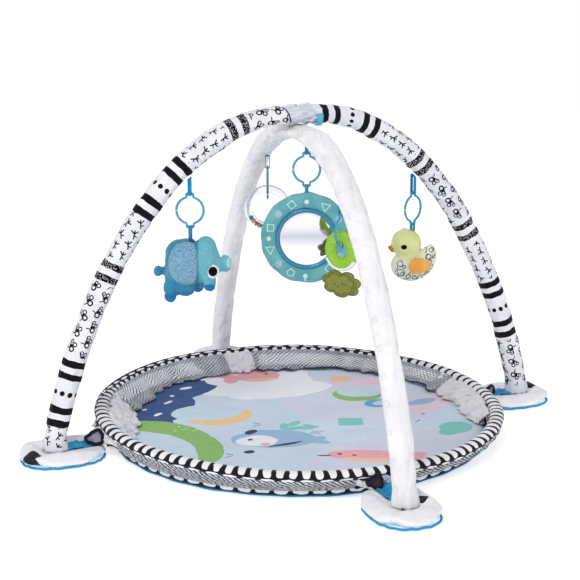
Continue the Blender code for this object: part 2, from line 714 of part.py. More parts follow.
def make_teether(parent, turn):
    """A soft ring hung on the link, with a leaf-shaped teether under it."""
    major, half_width, half_depth = 0.0235, 0.0110, 0.0070
    drop = major - TEETHER_RISE
    ring = add_object("teether_ring", stand_up(turned(torus_section(
        major, half_width, half_depth, 8), 24), drop), "teether_green")
    neck_bottom = -drop - 0.0405
    neck = ball((0, 0, neck_bottom + 0.009), (0.018, 0.006, 0.009))
    combine(ring, [neck])
    leaf_z = neck_bottom - 0.018
    balls = [((0, 0, leaf_z), (0.025, 0.0065, 0.021)),
             ((-0.022, 0, leaf_z + 0.001), (0.014, 0.0055, 0.014)),
             ((0.022, 0, leaf_z + 0.001), (0.014, 0.0055, 0.014)),
             ((-0.009, 0, leaf_z - 0.014), (0.013, 0.0055, 0.010)),
             ((0.010, 0, leaf_z - 0.014), (0.013, 0.0055, 0.010))]
    cut = box((-0.05, -0.02, neck_bottom - SEAM), (0.05, 0.02, 0.05))
    toy_from("teether_leaf", balls, "leaf_olive", parent, turn, cuts=[cut])
    ring.rotation_euler.z = turn
    ring.parent = parent


def main():
    clear_scene()
    make_mat()
    make_wall()
    rim_pivot = pivot("wall_rim_pivot", (0, 0, RIM_Z))
    make_rim(rim_pivot)
    for label, turn_deg in FEET.items():
        make_foot(label, turn_deg)

    arch_pivot = pivot("patterned_arch_pivot", (0, 0, HINGE_Z))
    make_arch("patterned", PATTERN_CROWN_Z, PATTERN_SLEEVE_RADIUS, "print_white",
              ("left", "right"), arch_pivot, 0.0)
    white_base = pivot("white_arch_base", (0, 0, HINGE_Z))
    make_arch("white", WHITE_CROWN_Z, WHITE_SLEEVE_RADIUS, "plain_white",
              ("front", "back"), white_base, math.pi / 2)

    toy_pivots = {name: make_hanger(name, arch_pivot) for name in HANGERS}
    turns = {name: toy_turn - link_turn for name, (_, _, _, link_turn, toy_turn) in HANGERS.items()}
    make_elephant(toy_pivots["elephant"], turns["elephant"])
    make_duck(toy_pivots["duck"], turns["duck"], 0.0)
    make_mirror(toy_pivots["mirror"], turns["mirror"])
    make_rattle(toy_pivots["rattle"], turns["rattle"])
    make_teether(toy_pivots["teether"], turns["teether"])


main()
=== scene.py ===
"""Looks for the activity play gym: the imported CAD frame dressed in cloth, padding, print and plastic.

Metres, +Z up, origin on the floor at the mat's centre, as in the CAD model.  The tubes, ferrules,
plugs, sockets, links and web loops stay, with better materials.  Every other CAD solid is replaced
by a shaped piece here.
"""
import json
import math

import bmesh
import bpy
import numpy as np
from mathutils import Matrix, Vector, noise


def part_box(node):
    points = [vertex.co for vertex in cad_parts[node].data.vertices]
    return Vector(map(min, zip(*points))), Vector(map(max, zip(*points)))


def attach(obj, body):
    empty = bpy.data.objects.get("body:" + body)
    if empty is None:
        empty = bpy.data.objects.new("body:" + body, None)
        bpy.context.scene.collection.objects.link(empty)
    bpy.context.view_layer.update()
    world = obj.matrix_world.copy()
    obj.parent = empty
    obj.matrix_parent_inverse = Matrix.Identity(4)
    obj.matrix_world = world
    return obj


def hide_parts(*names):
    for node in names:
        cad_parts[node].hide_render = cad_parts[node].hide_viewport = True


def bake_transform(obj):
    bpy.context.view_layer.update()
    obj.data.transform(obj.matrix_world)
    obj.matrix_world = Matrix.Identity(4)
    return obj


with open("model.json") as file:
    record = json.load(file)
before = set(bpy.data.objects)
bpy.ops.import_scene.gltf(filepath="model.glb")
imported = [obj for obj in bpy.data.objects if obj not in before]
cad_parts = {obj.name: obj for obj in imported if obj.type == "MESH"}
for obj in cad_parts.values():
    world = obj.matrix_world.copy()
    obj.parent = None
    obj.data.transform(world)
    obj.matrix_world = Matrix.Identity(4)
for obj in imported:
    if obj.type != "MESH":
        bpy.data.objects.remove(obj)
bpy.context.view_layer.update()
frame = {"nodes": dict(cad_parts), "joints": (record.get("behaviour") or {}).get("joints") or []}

# ---- sizes, which repeat the CAD model's own ---------------------------------------------------
FOOT_REACH = 0.470
PIN_Z = 0.0282
PATTERN_CROWN = 0.598
WHITE_CROWN = 0.568
ARCH_SPREAD = 2.351          # superellipse exponents of both arches
ARCH_RISE = 1.247
PATTERN_RADIUS = 0.0210
WHITE_RADIUS = 0.0205
CROWN_HALF_HEIGHT = 0.0135
CROWN_HALF_WIDTH = 0.0245
CROWN_FLAT = 0.035
CROWN_BLEND = 0.150
CROWN_CLEAR = 0.028          # the sleeve's top is pressed only this far from the crossing
CROWN_FULL = 0.090           # and is round again from here on
CROWN_PUFF = 0.0045          # the upper sleeve's free top stands this much prouder
HEM_BELOW_PIN = 0.0082       # the sleeves' hems stand on the foot pads
HEM_FOLD = 0.55              # and are turned in to this share of the sleeve's width

MAT_RADIUS = 0.350
MAT_TOP = 0.0195
BINDING_RADIUS = 0.3530
RIM_RADIUS = 0.373
RIM_Z = 0.055
RIM_HALF_WIDTH = 0.0132
RIM_HALF_HEIGHT = 0.0088     # the filling has gone flat
RIM_GIRTH = 0.0702           # once round that section
# half the gap in degrees that the nets leave for each gusset, and how far its flaps run on inside
# the wall, before it and after it
GUSSET_HALF = {"right": 9.0, "back": 5.0, "left": 8.0, "front": 7.0}
GUSSET_FLAP = {"right": (-17, 4), "back": (0, 0), "left": (-20, 0), "front": (0, 0)}
GUSSET_SEAM = 2.2            # degrees that each gusset runs on past the edges of that gap

PAD_CENTRE = 0.457
PAD_HALF_LENGTH = 0.078
PAD_HALF_WIDTH = 0.062
PAD_ROUNDNESS = 2.4
PAD_TOP = 0.0180
# each pad's black patch: (centre, half size, turn) on the pad, whose X points out from the mat
PAD_PATCHES = {"left": ((0.066, 0.030), (0.012, 0.010), 0.4),
               "front": ((0.006, 0.030), (0.007, 0.004), 0.6),
               "right": ((0.058, 0.014), (0.014, 0.012), 0.3),
               "back": ((0.062, -0.024), (0.010, 0.010), 0.3)}

FEET = {"right": 0, "back": 90, "left": 180, "front": 270}
EYE_SHINE = 0.07             # low, so that the button eyes stay black
TOY_TURN = math.radians(-21)
TEETHER_TURN = math.radians(-60)

JOINTS = {joint["name"]: joint for joint in frame["joints"]}


def toy_frame(toy, turn=TOY_TURN):
    """The toy's own axes: X along the toy, -Y its near side, origin at the rod it hangs from."""
    pivot = Vector(JOINTS[f"{toy}_swing"]["pos_m"])
    return Matrix.Translation(pivot) @ Matrix.Rotation(turn, 4, "Z")


# ---- node materials ----------------------------------------------------------------------------
def tone(red, green, blue):
    """A screen colour, 0 to 255, as linear light."""
    def linear(value):
        share = value / 255
        return share / 12.92 if share <= 0.04045 else ((share + 0.055) / 1.055) ** 2.4
    return (linear(red), linear(green), linear(blue), 1.0)


class Paint:
    """One Principled material; each method adds nodes and returns the socket that they end in."""

    def __init__(self, name, roughness=0.85, sheen=0.0, metallic=0.0):
        self.material = bpy.data.materials.new(name)
        self.material.use_nodes = True
        self.tree = self.material.node_tree
        self.shader = self.tree.nodes["Principled BSDF"]
        self.shader.inputs["Roughness"].default_value = roughness
        self.shader.inputs["Metallic"].default_value = metallic
        self.shader.inputs["Sheen Weight"].default_value = sheen
        self.shader.inputs["Sheen Roughness"].default_value = 0.5
        if roughness > 0.7:
            self.shader.inputs["Specular IOR Level"].default_value = 0.2

    def node(self, kind, **settings):
        made = self.tree.nodes.new(kind)
        for key, value in settings.items():
            setattr(made, key, value)
        return made

    def plug(self, socket, value):
        if isinstance(value, bpy.types.NodeSocket):
            self.tree.links.new(value, socket)
        elif isinstance(value, (int, float)) and socket.type == "VECTOR":
            socket.default_value = (value, value, value)
        else:
            socket.default_value = value

    def here(self):
        return self.node("ShaderNodeTexCoord").outputs["Object"]

    def cloth(self):
        """The piece's own UV in metres: along it, and around it."""
        return self.node("ShaderNodeUVMap", uv_map="metres").outputs["UV"]

    def math(self, operation, first, second=0.0, third=0.0):
        made = self.node("ShaderNodeMath", operation=operation)
        for socket, value in zip(made.inputs, (first, second, third)):
            self.plug(socket, value)
        return made.outputs[0]

    def vector(self, operation, first, second=(0, 0, 0)):
        made = self.node("ShaderNodeVectorMath", operation=operation)
        self.plug(made.inputs[0], first)
        self.plug(made.inputs[1], second)
        return made.outputs["Value" if operation in ("LENGTH", "DOT_PRODUCT") else "Vector"]

    def split(self, vector):
        return self.node_with("ShaderNodeSeparateXYZ", vector).outputs

    def node_with(self, kind, value, **settings):
        made = self.node(kind, **settings)
        self.plug(made.inputs[0], value)
        return made

    def join(self, x, y, z=0.0):
        made = self.node("ShaderNodeCombineXYZ")
        for socket, value in zip(made.inputs, (x, y, z)):
            self.plug(socket, value)
        return made.outputs[0]

    def placed(self, at, centre, turn=0.0, size=(1, 1, 1)):
        """The point as seen from a motif that is centred, turned and sized like this."""
        made = self.node("ShaderNodeMapping", vector_type="TEXTURE")
        self.plug(made.inputs["Vector"], at)
        made.inputs["Location"].default_value = (*centre[:2], 0)
        made.inputs["Rotation"].default_value = (0, 0, turn)
        made.inputs["Scale"].default_value = size
        return made.outputs[0]

    def below(self, value, limit):
        return self.math("LESS_THAN", value, limit)

    def above(self, value, limit):
        return self.math("GREATER_THAN", value, limit)

    def either(self, *masks):
        result = masks[0]
        for mask in masks[1:]:
            result = self.math("MAXIMUM", result, mask)
        return result

    def both(self, first, second):
        return self.math("MULTIPLY", first, second)

    def without(self, first, second):
        return self.math("SUBTRACT", first, self.both(first, second))

    def oval(self, at, centre, radii, turn=0.0):
        local = self.placed(at, centre, turn, (radii[0], radii[1], 1))
        return self.below(self.vector("LENGTH", local), 1.0)

    def bar(self, at, centre, half, turn=0.0, width=0.001):
        """A straight stroke with round ends, or a rounded box where half has two sizes."""
        local = self.vector("ABSOLUTE", self.placed(at, centre, turn))
        beyond = self.vector("SUBTRACT", local, (half[0], half[1], 0))
        outside = self.vector("MAXIMUM", beyond, (0, 0, 0))
        return self.below(self.vector("LENGTH", outside), width)

    def ring(self, at, centre, radius, width):
        reach = self.vector("LENGTH", self.placed(at, centre))
        return self.below(self.math("ABSOLUTE", self.math("SUBTRACT", reach, radius)), width)

    def polygon(self, at, centre, radius, sides, turn=0.0):
        """Distance out from a regular polygon's edge, less than 0 inside it."""
        local = self.placed(at, centre, turn)
        result = None
        for side in range(sides):
            angle = 2 * math.pi * side / sides
            reach = self.vector("DOT_PRODUCT", local, (math.cos(angle), math.sin(angle), 0))
            result = reach if result is None else self.math("MAXIMUM", result, reach)
        return self.math("SUBTRACT", result, radius)

    def outline(self, distance, width):
        return self.below(self.math("ABSOLUTE", distance), width)

    def ramp(self, value, start, end, low, high, **settings):
        """low up to start, high from end on, and a slope between them."""
        made = self.node("ShaderNodeMapRange", **settings)
        self.plug(made.inputs["Value"], value)
        for socket, number in (("From Min", start), ("From Max", end), ("To Min", low), ("To Max", high)):
            made.inputs[socket].default_value = number
        return made.outputs[0]

    def noise(self, at, scale, detail=2.0, low=0.0, high=1.0):
        made = self.node("ShaderNodeTexNoise")
        self.plug(made.inputs["Vector"], at)
        made.inputs["Scale"].default_value = scale
        made.inputs["Detail"].default_value = detail
        return self.ramp(made.outputs["Fac"], 0.3, 0.7, low, high)

    def drift(self, at, scales, detail, amount):
        """A small wandering offset from two noises, which makes drawn lines waver."""
        aside = self.join(*[self.noise(at, scale, detail, -1, 1) for scale in scales])
        made = self.vector("SCALE", aside)
        made.node.inputs["Scale"].default_value = amount
        return made

    def cells(self, at, scale, feature="F1"):
        made = self.node("ShaderNodeTexVoronoi", feature=feature)
        self.plug(made.inputs["Vector"], at)
        made.inputs["Scale"].default_value = scale
        return made.outputs["Distance"]

    def random(self, at):
        return self.node_with("ShaderNodeTexWhiteNoise", at).outputs["Value"]

    def mix(self, share, under, over):
        made = self.node("ShaderNodeMix", data_type="RGBA")
        self.plug(made.inputs["Factor"], share)
        self.plug(made.inputs["A"], under)
        self.plug(made.inputs["B"], over)
        return made.outputs["Result"]

    def worn(self, colour, at, scale=14.0, dark=0.86):
        """The colour, a little darker in soft irregular patches."""
        shade = self.noise(at, scale, 4.0, dark, 1.0)
        made = self.node("ShaderNodeVectorMath", operation="SCALE")
        self.plug(made.inputs[0], colour if not isinstance(colour, tuple) else colour[:3])
        self.plug(made.inputs["Scale"], shade)
        return made.outputs["Vector"]

    def relief(self, *layers):
        """Bump from (height, depth in metres) layers."""
        normal = None
        for height, depth in layers:
            made = self.node("ShaderNodeBump")
            made.inputs["Strength"].default_value = 1.0
            made.inputs["Distance"].default_value = depth
            self.plug(made.inputs["Height"], height)
            if normal is not None:
                self.plug(made.inputs["Normal"], normal)
            normal = made.outputs[0]
        self.plug(self.shader.inputs["Normal"], normal)

    def colour(self, value):
        self.plug(self.shader.inputs["Base Color"], value)
        return self.material


def weave(paint, at, threads=900.0):
    """Height of a plain weave that needs no UV: crossed threads in space, broken up by noise."""
    axes = paint.split(at)
    waves = []
    for axis in axes:
        turns = paint.math("MULTIPLY", axis, threads * math.tau / 2)
        waves.append(paint.math("SINE", turns))
    crossed = paint.math("MULTIPLY", waves[0], waves[1])
    crossed = paint.math("ADD", crossed, paint.math("MULTIPLY", waves[1], waves[2]))
    return paint.math("MULTIPLY_ADD", crossed, 0.4, paint.noise(at, 260.0, 2.0))


def line_mask(paint, value, place, half):
    """1 within half of the place, 0 elsewhere."""
    return paint.below(paint.math("ABSOLUTE", paint.math("SUBTRACT", value, place)), half)


def steel(name):
    """Brushed spring steel."""
    paint = Paint(name, roughness=0.35, metallic=1.0)
    at = paint.here()
    paint.relief((paint.noise(at, 900.0, 2.0), 0.00005))
    return paint.colour(paint.worn(tone(186, 188, 194), at, 120.0, 0.85))


# ---- numbers -----------------------------------------------------------------------------------
def clamp(value):
    return max(0.0, min(1.0, value))


def eased(share):
    """0 to 1 with soft ends."""
    return share * share * (3 - 2 * share)


def bell(value, width):
    return math.exp(-(value / width) ** 2)


def evenly(pitch, count):
    return [pitch * k for k in range(count + 1)]


def polar(reach, turn, up):
    return Vector((reach * math.cos(turn), reach * math.sin(turn), up))


# ---- meshes ------------------------------------------------------------------------------------
def add_object(name, data):
    obj = bpy.data.objects.new(name, data)
    bpy.context.scene.collection.objects.link(obj)
    return obj


def finish_piece(obj, body, material, replaces=(), smooth=True):
    """Material, shading, slot, the CAD nodes it stands for and, where one is given, its body."""
    obj.data.materials.clear()
    obj.data.materials.append(material)
    for polygon in obj.data.polygons:
        polygon.use_smooth = smooth
    if replaces:
        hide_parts(*replaces)
    if body:
        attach(obj, body)
    return obj


def mesh_object(name, verts, faces, uvs=None):
    """A mesh object; uvs holds one (u, v) per face corner, in metres."""
    mesh = bpy.data.meshes.new(name)
    mesh.from_pydata([tuple(v) for v in verts], [], faces)
    if uvs is not None:
        layer = mesh.uv_layers.new(name="metres")
        layer.data.foreach_set("uv", np.array(uvs, np.float32).ravel())
    mesh.update()
    return add_object(name, mesh)


def loft(name, rings, along, around, closed=False, caps=False):
    """A skin through equal rings of points.  along gives each ring's u, around each point's v."""
    count = len(rings[0])
    verts = [point for ring in rings for point in ring]
    faces, uvs = [], []
    steps = len(rings) if closed else len(rings) - 1
    for i in range(steps):
        after = (i + 1) % len(rings)
        for j in range(count):
            beside = (j + 1) % count
            faces.append((i * count + j, after * count + j, after * count + beside, i * count + beside))
            uvs += [(along[i], around[j]), (along[i + 1], around[j]),
                    (along[i + 1], around[j + 1]), (along[i], around[j + 1])]
    if caps:
        for ring, order in ((0, 1), (len(rings) - 1, -1)):
            faces.append(tuple(ring * count + j for j in range(count))[::order])
            uvs += [(along[ring], around[j]) for j in range(count)][::order]
    return mesh_object(name, verts, faces, uvs)


def grid(name, rows, us, vs, closed=False):
    """An open sheet through rows of points; closed joins its last row to its first."""
    width = len(rows[0])
    verts = [point for row in rows for point in row]
    faces, uvs = [], []
    for i in range(len(rows) if closed else len(rows) - 1):
        after = (i + 1) % len(rows)
        for j in range(width - 1):
            faces.append((i * width + j, after * width + j, after * width + j + 1, i * width + j + 1))
            uvs += [(us[i], vs[j]), (us[i + 1], vs[j]), (us[i + 1], vs[j + 1]), (us[i], vs[j + 1])]
    return mesh_object(name, verts, faces, uvs)


def smooth_curve(points, steps):
    """Catmull-Rom points through the given ones."""
    padded = [points[0] * 2 - points[1], *points, points[-1] * 2 - points[-2]]
    result = []
    for i in range(len(points) - 1):
        a, b, c, d = padded[i:i + 4]
        for k in range(steps):
            t = k / steps
            result.append(0.5 * (2 * b + (c - a) * t + (2 * a - 5 * b + 4 * c - d) * t * t
                                 + (3 * b - a - 3 * c + d) * t ** 3))
    result.append(points[-1].copy())
    return result


def wobble(point, scale, amount, seed=0.0):
    """A smooth random number at a point."""
    return amount * noise.noise(Vector(point) * scale + Vector((seed, seed * 0.7, -seed)))


def tube_along(name, points, radius, sides=12, closed=False, width=None):
    """A round rod, or a flat ribbon where width is given, along the points."""
    count = len(points)
    rings, along, length = [], [0.0], 0.0
    side = None
    for i, point in enumerate(points):
        before = points[(i - 1) % count] if closed or i else point
        after = points[(i + 1) % count] if closed or i < count - 1 else point
        run = (after - before).normalized()
        if side is None:
            side = run.orthogonal().normalized()
        side = (side - run * side.dot(run)).normalized()
        up = run.cross(side)
        reach = width / 2 if width else radius
        rings.append([point + side * math.cos(t) * reach + up * math.sin(t) * radius
                      for t in (math.tau * k / sides for k in range(sides))])
    for i in range(1, count + 1):
        length += (points[i % count] - points[i - 1]).length
        along.append(length)
    around = [math.tau * (width or radius) * k / sides for k in range(sides + 1)]
    return loft(name, rings, along, around, closed, caps=not closed)


def ribbon_along(name, path, width, thickness):
    """A flat ribbon whose width lies along X, following a path in the YZ plane."""
    rows, us = [], [0.0]
    for i, point in enumerate(path):
        run = (path[min(len(path) - 1, i + 1)] - path[max(0, i - 1)]).normalized()
        out = Vector((0, -run.z, run.y)) * thickness / 2
        half = Vector((width / 2, 0, 0))
        rows.append([point - half - out, point - half + out, point + half + out, point + half - out])
        if i:
            us.append(us[-1] + (point - path[i - 1]).length)
    us.append(us[-1])
    around = [0, thickness, thickness + width, 2 * thickness + width, 2 * (thickness + width)]
    return loft(name, rows, us, around, caps=True)


def ball(bm, centre, radii, turn=0.0):
    """Adds an ellipsoid."""
    matrix = Matrix.Translation(centre) @ Matrix.Rotation(turn, 4, "Y") @ Matrix.Diagonal((*radii, 1))
    bmesh.ops.create_icosphere(bm, subdivisions=4, radius=1, matrix=matrix)


def from_balls(name, balls):
    """A rough shape of overlapping ellipsoids, to be remeshed."""
    bm = bmesh.new()
    for shape in balls:
        ball(bm, *shape)
    mesh = bpy.data.meshes.new(name)
    bm.to_mesh(mesh)
    bm.free()
    return add_object(name, mesh)


def apply_modifiers(obj):
    """Bakes what the modifiers make into the mesh itself."""
    bpy.context.view_layer.update()
    shaped = obj.evaluated_get(bpy.context.evaluated_depsgraph_get())
    mesh = bpy.data.meshes.new_from_object(shaped)
    obj.modifiers.clear()
    obj.data = mesh


def remesh(obj, voxel, relax):
    """One even skin over the mesh's pieces, with its creases relaxed."""
    made = obj.modifiers.new("skin", "REMESH")
    made.mode = "VOXEL"
    made.voxel_size = voxel
    made = obj.modifiers.new("relax", "SMOOTH")
    made.factor = 0.5
    made.iterations = relax
    apply_modifiers(obj)


def inflate(obj, pressure, cap, subdivide=1, frames=20):
    """Swells the closed mesh as stuffing does, with a cloth simulation, and keeps the result."""
    rest = np.array([v.co for v in obj.data.vertices])
    cloth = obj.modifiers.new("cloth", "CLOTH")
    cloth.settings.use_pressure = True
    cloth.settings.uniform_pressure_force = pressure
    cloth.settings.effector_weights.gravity = 0
    cloth.settings.tension_stiffness = 20
    cloth.settings.bending_stiffness = 0.4
    cloth.collision_settings.use_collision = False
    cloth.point_cache.frame_start = 1
    cloth.point_cache.frame_end = frames
    scene = bpy.context.scene
    for step in range(1, frames + 1):
        scene.frame_set(step)
    apply_modifiers(obj)
    scene.frame_set(1)
    moved = np.array([v.co for v in obj.data.vertices]) - rest
    length = np.linalg.norm(moved, axis=1, keepdims=True)
    moved *= np.minimum(1, cap / np.maximum(length, 1e-9))
    obj.data.vertices.foreach_set("co", (rest + moved).astype(np.float32).ravel())
    if subdivide:
        made = obj.modifiers.new("finer", "SUBSURF")
        made.levels = subdivide
        made.render_levels = subdivide
        apply_modifiers(obj)


def push(obj, offset):
    """Moves every point along its normal by offset(point)."""
    mesh = obj.data
    mesh.update()
    moves = [(v.index, v.normal.copy() * offset(v.co)) for v in mesh.vertices]
    for index, move in moves:
        mesh.vertices[index].co += move
    mesh.update()


# ---- camera, light and floor -------------------------------------------------------------------
def camera_and_light():
    """The view, a soft white studio world and three area lamps."""
    data = bpy.data.cameras.new("camera")
    data.sensor_width = 36
    data.lens = 91.91
    data.shift_x = -0.0158
    data.shift_y = -0.0081
    camera = add_object("camera", data)
    right = Vector((0.93097, -0.36509, 0))
    up = Vector((0.08588, 0.21898, 0.97194))
    back = Vector((-0.35484, -0.90485, 0.23522))
    turn = Matrix((right, up, back)).transposed().to_4x4()
    camera.matrix_world = Matrix.Translation((-0.98046, -2.50017, 0.92992)) @ turn
    bpy.context.scene.camera = camera

    world = bpy.data.worlds.new("studio")
    world.use_nodes = True
    tree = world.node_tree
    soft = tree.nodes["Background"]
    soft.inputs["Color"].default_value = (0.965, 0.97, 1.0, 1)
    soft.inputs["Strength"].default_value = 0.56
    backdrop = tree.nodes.new("ShaderNodeBackground")
    backdrop.inputs["Color"].default_value = (1, 1, 1, 1)
    chosen = tree.nodes.new("ShaderNodeMixShader")
    tree.links.new(tree.nodes.new("ShaderNodeLightPath").outputs["Is Camera Ray"], chosen.inputs["Fac"])
    tree.links.new(soft.outputs[0], chosen.inputs[1])
    tree.links.new(backdrop.outputs[0], chosen.inputs[2])
    tree.links.new(chosen.outputs[0], tree.nodes["World Output"].inputs["Surface"])
    bpy.context.scene.world = world
    bpy.context.scene.view_settings.view_transform = "Standard"
    for name, place, size, power in (
            ("key", (-1.7, -1.9, 2.6), 1.1, 44), ("fill", (2.4, -1.2, 1.8), 2.2, 7),
            ("top", (0.2, 0.8, 2.8), 2.4, 8)):
        lamp = bpy.data.lights.new(name, "AREA")
        lamp.size = size
        lamp.energy = power
        holder = add_object(name, lamp)
        holder.location = place
        aim = Vector((0, 0, 0.2)) - Vector(place)
        holder.rotation_euler = aim.to_track_quat("-Z", "Y").to_euler()


def floor():
    """A white floor just under the mat, which catches the shadows."""
    paint = Paint("floor_paint", roughness=0.9)
    at = paint.here()
    paint.colour(paint.worn(tone(252, 252, 253), at, 1.5, 0.985))
    paint.shader.inputs["Emission Color"].default_value = (1, 1, 1, 1)
    paint.shader.inputs["Emission Strength"].default_value = 0.48
    paint.relief((paint.noise(at, 40.0, 3.0), 0.0004))
    bm = bmesh.new()
    bmesh.ops.create_circle(bm, cap_ends=True, segments=96, radius=9)
    mesh = bpy.data.meshes.new("floor")
    bm.to_mesh(mesh)
    bm.free()
    obj = add_object("floor", mesh)
    obj.location.z = -0.0005
    obj.data.materials.append(paint.material)


camera_and_light()
floor()


# ---- mat ---------------------------------------------------------------------------------------
SKY = tone(203, 221, 236)
LAVENDER = tone(215, 220, 237)
CLOUD = tone(243, 245, 250)
NAVY = tone(50, 82, 138)
INK = tone(46, 62, 84)
LEAF = tone(142, 190, 106)
MOON = tone(243, 205, 148)
CORAL = tone(240, 172, 182)
BLUSH = tone(236, 214, 228)
TEAL = tone(130, 205, 198)
RIVER = tone(96, 170, 214)
FEATHER = tone(158, 190, 224)
PEACH = tone(248, 200, 170)

# each motif of the printed mat: (colour, its ovals as (centre, radii, turn in degrees))
OVALS = (
    (LAVENDER, (((0.17, 0.08), (0.17, 0.17), 20), ((0.10, -0.24), (0.20, 0.09), 10))),
    (CLOUD, (((-0.02, 0.250), (0.140, 0.080), -8), ((0.03, 0.180), (0.110, 0.050), 0))),
    # night patch with clouds and stars
    (NAVY, (((-0.260, 0.170), (0.120, 0.095), 42), ((-0.165, 0.275), (0.120, 0.075), 30),
            ((-0.290, 0.080), (0.060, 0.060), 30), ((-0.110, 0.300), (0.050, 0.040), 0))),
    (CLOUD, (((-0.205, 0.185), (0.013, 0.005), 40), ((-0.145, 0.262), (0.014, 0.007), 10),
             ((-0.245, 0.120), (0.011, 0.005), 30), ((-0.090, 0.305), (0.012, 0.006), 20),
             ((-0.262, 0.160), (0.006, 0.004), 0), ((-0.185, 0.225), (0.005, 0.005), 0),
             ((-0.285, 0.085), (0.007, 0.004), 0), ((-0.228, 0.222), (0.006, 0.004), 0))),
    # hill
    (LEAF, (((-0.290, -0.045), (0.105, 0.145), 12),)),
    (SKY, (((-0.345, -0.075), (0.110, 0.125), 12),)),
    # crescent moon
    (MOON, (((-0.138, 0.068), (0.066, 0.050), -4),)),
    (SKY, (((-0.152, 0.098), (0.070, 0.048), -8),)),
    # fish on a cloud
    (CLOUD, (((-0.045, 0.285), (0.050, 0.045), 0), ((0.015, 0.265), (0.060, 0.050), 0),
             ((0.075, 0.270), (0.050, 0.038), 0))),
    (CORAL, (((0.018, 0.285), (0.047, 0.036), -12), ((-0.040, 0.305), (0.016, 0.028), 30),
             ((-0.040, 0.280), (0.016, 0.024), -30))),
    (PEACH, (((0.020, 0.262), (0.036, 0.010), -12),)),
    (INK, (((0.040, 0.293), (0.004, 0.004), 0),)),
    # whale
    (FEATHER, (((-0.085, -0.090), (0.078, 0.048), -20), ((-0.010, -0.120), (0.020, 0.013), 30),
               ((-0.012, -0.136), (0.020, 0.010), -35))),
    (CLOUD, (((-0.118, -0.090), (0.038, 0.028), -20),)),
    (CORAL, (((-0.110, -0.112), (0.010, 0.005), 0),)),
    (INK, (((-0.128, -0.078), (0.005, 0.005), 0), ((-0.075, -0.125), (0.034, 0.005), 4),
           ((-0.152, -0.140), (0.010, 0.008), 0), ((-0.112, -0.040), (0.015, 0.010), 35))),
    # cloud, sun and river bends
    (BLUSH, (((0.185, 0.185), (0.045, 0.030), -20), ((0.225, 0.165), (0.035, 0.032), -20))),
    (PEACH, (((0.172, 0.205), (0.022, 0.020), 0),)),
    (LEAF, (((0.160, 0.095), (0.048, 0.040), -20),)),
    (SKY, (((0.170, 0.108), (0.042, 0.030), -20),)),
    (RIVER, (((0.180, 0.030), (0.030, 0.025), 0),)),
    (SKY, (((0.190, 0.030), (0.024, 0.015), 0),)),
    # flower
    (TEAL, (((-0.045, -0.035), (0.018, 0.009), 70), ((-0.030, -0.050), (0.020, 0.009), 10),
            ((-0.012, -0.055), (0.020, 0.009), -20), ((-0.020, -0.025), (0.018, 0.008), 30),
            ((0.005, -0.048), (0.018, 0.008), -45))),
    # fish along the front edge
    (CORAL, (((0.045, -0.238), (0.080, 0.030), -28), ((0.120, -0.262), (0.022, 0.014), 10),
             ((0.118, -0.284), (0.020, 0.012), -50))),
    (PEACH, (((0.040, -0.258), (0.066, 0.010), -28),)),
    (INK, (((-0.005, -0.208), (0.004, 0.004), 0), ((0.018, -0.222), (0.004, 0.004), 0),
           ((-0.032, -0.205), (0.013, 0.003), -20))),
    # bird at the right
    (BLUSH, (((0.275, 0.000), (0.062, 0.038), 15), ((0.235, -0.045), (0.030, 0.014), 40))),
    (FEATHER, (((0.262, 0.008), (0.034, 0.014), 15),)),
    (INK, (((0.318, 0.030), (0.004, 0.003), 0), ((0.232, -0.062), (0.004, 0.003), 0))),
    # bush and lake
    (TEAL, (((0.255, -0.155), (0.034, 0.030), 40), ((0.230, -0.175), (0.018, 0.016), 0))),
    (NAVY, (((0.325, 0.150), (0.070, 0.034), -55),)),
)
LEAF_SQUARE = ((0.085, -0.053), (0.018, 0.016), -20)
NOTES = (((-0.195, -0.150), 20), ((-0.187, -0.138), -55), ((-0.090, -0.010), 25), ((-0.084, 0.001), -50),
         ((0.205, -0.095), 30), ((0.240, 0.105), 40))


def mat_print():
    """Pale blue cotton with soft generic motifs, faint drawn lines and packing creases."""
    paint = Paint("mat_print_cloth", roughness=0.82, sheen=0.12)
    at = paint.here()
    drawn = paint.vector("ADD", at, paint.drift(at, (26.0, 31.0), 2.0, 0.0022))
    flat = paint.vector("MULTIPLY", drawn, (1, 1, 0))
    colour = paint.mix(paint.noise(at, 7.0, 2.0), SKY, tone(212, 226, 240))
    for tint, ovals in OVALS:
        masks = [paint.oval(flat, centre, radii, math.radians(turn)) for centre, radii, turn in ovals]
        colour = paint.mix(paint.either(*masks), colour, tint)
    centre, half, turn = LEAF_SQUARE
    colour = paint.mix(paint.bar(flat, centre, half, math.radians(turn), 0.006), colour, TEAL)
    strokes = [paint.bar(flat, centre, (0.007, 0), math.radians(turn), 0.0011) for centre, turn in NOTES]
    for x in (0.048, 0.056):
        strokes.append(paint.bar(flat, (x - 0.05, -0.135 + x), (0.010, 0), math.radians(-20), 0.0012))
    colour = paint.mix(paint.either(*strokes), colour, INK)
    dots = paint.below(paint.cells(flat, 95.0), 0.16)
    spray = paint.either(*[paint.oval(flat, centre, (0.045, 0.030))
                           for centre in ((0.10, -0.16), (0.05, 0.10), (-0.20, 0.02))])
    colour = paint.mix(paint.both(dots, spray), colour, CLOUD)
    crease = paint.either(
        paint.bar(flat, (0.0, 0.12), (0.33, 0), math.radians(8), 0.0012),
        paint.bar(flat, (0.02, -0.10), (0.33, 0), math.radians(-6), 0.0012),
        paint.bar(flat, (0.12, 0.0), (0.33, 0), math.radians(88), 0.0012))
    paint.relief((crease, -0.0006), (paint.noise(at, 20.0, 3.0), 0.0030), (weave(paint, at, 1100), 0.00012))
    return paint.colour(paint.worn(colour, at, 9.0, 0.94))


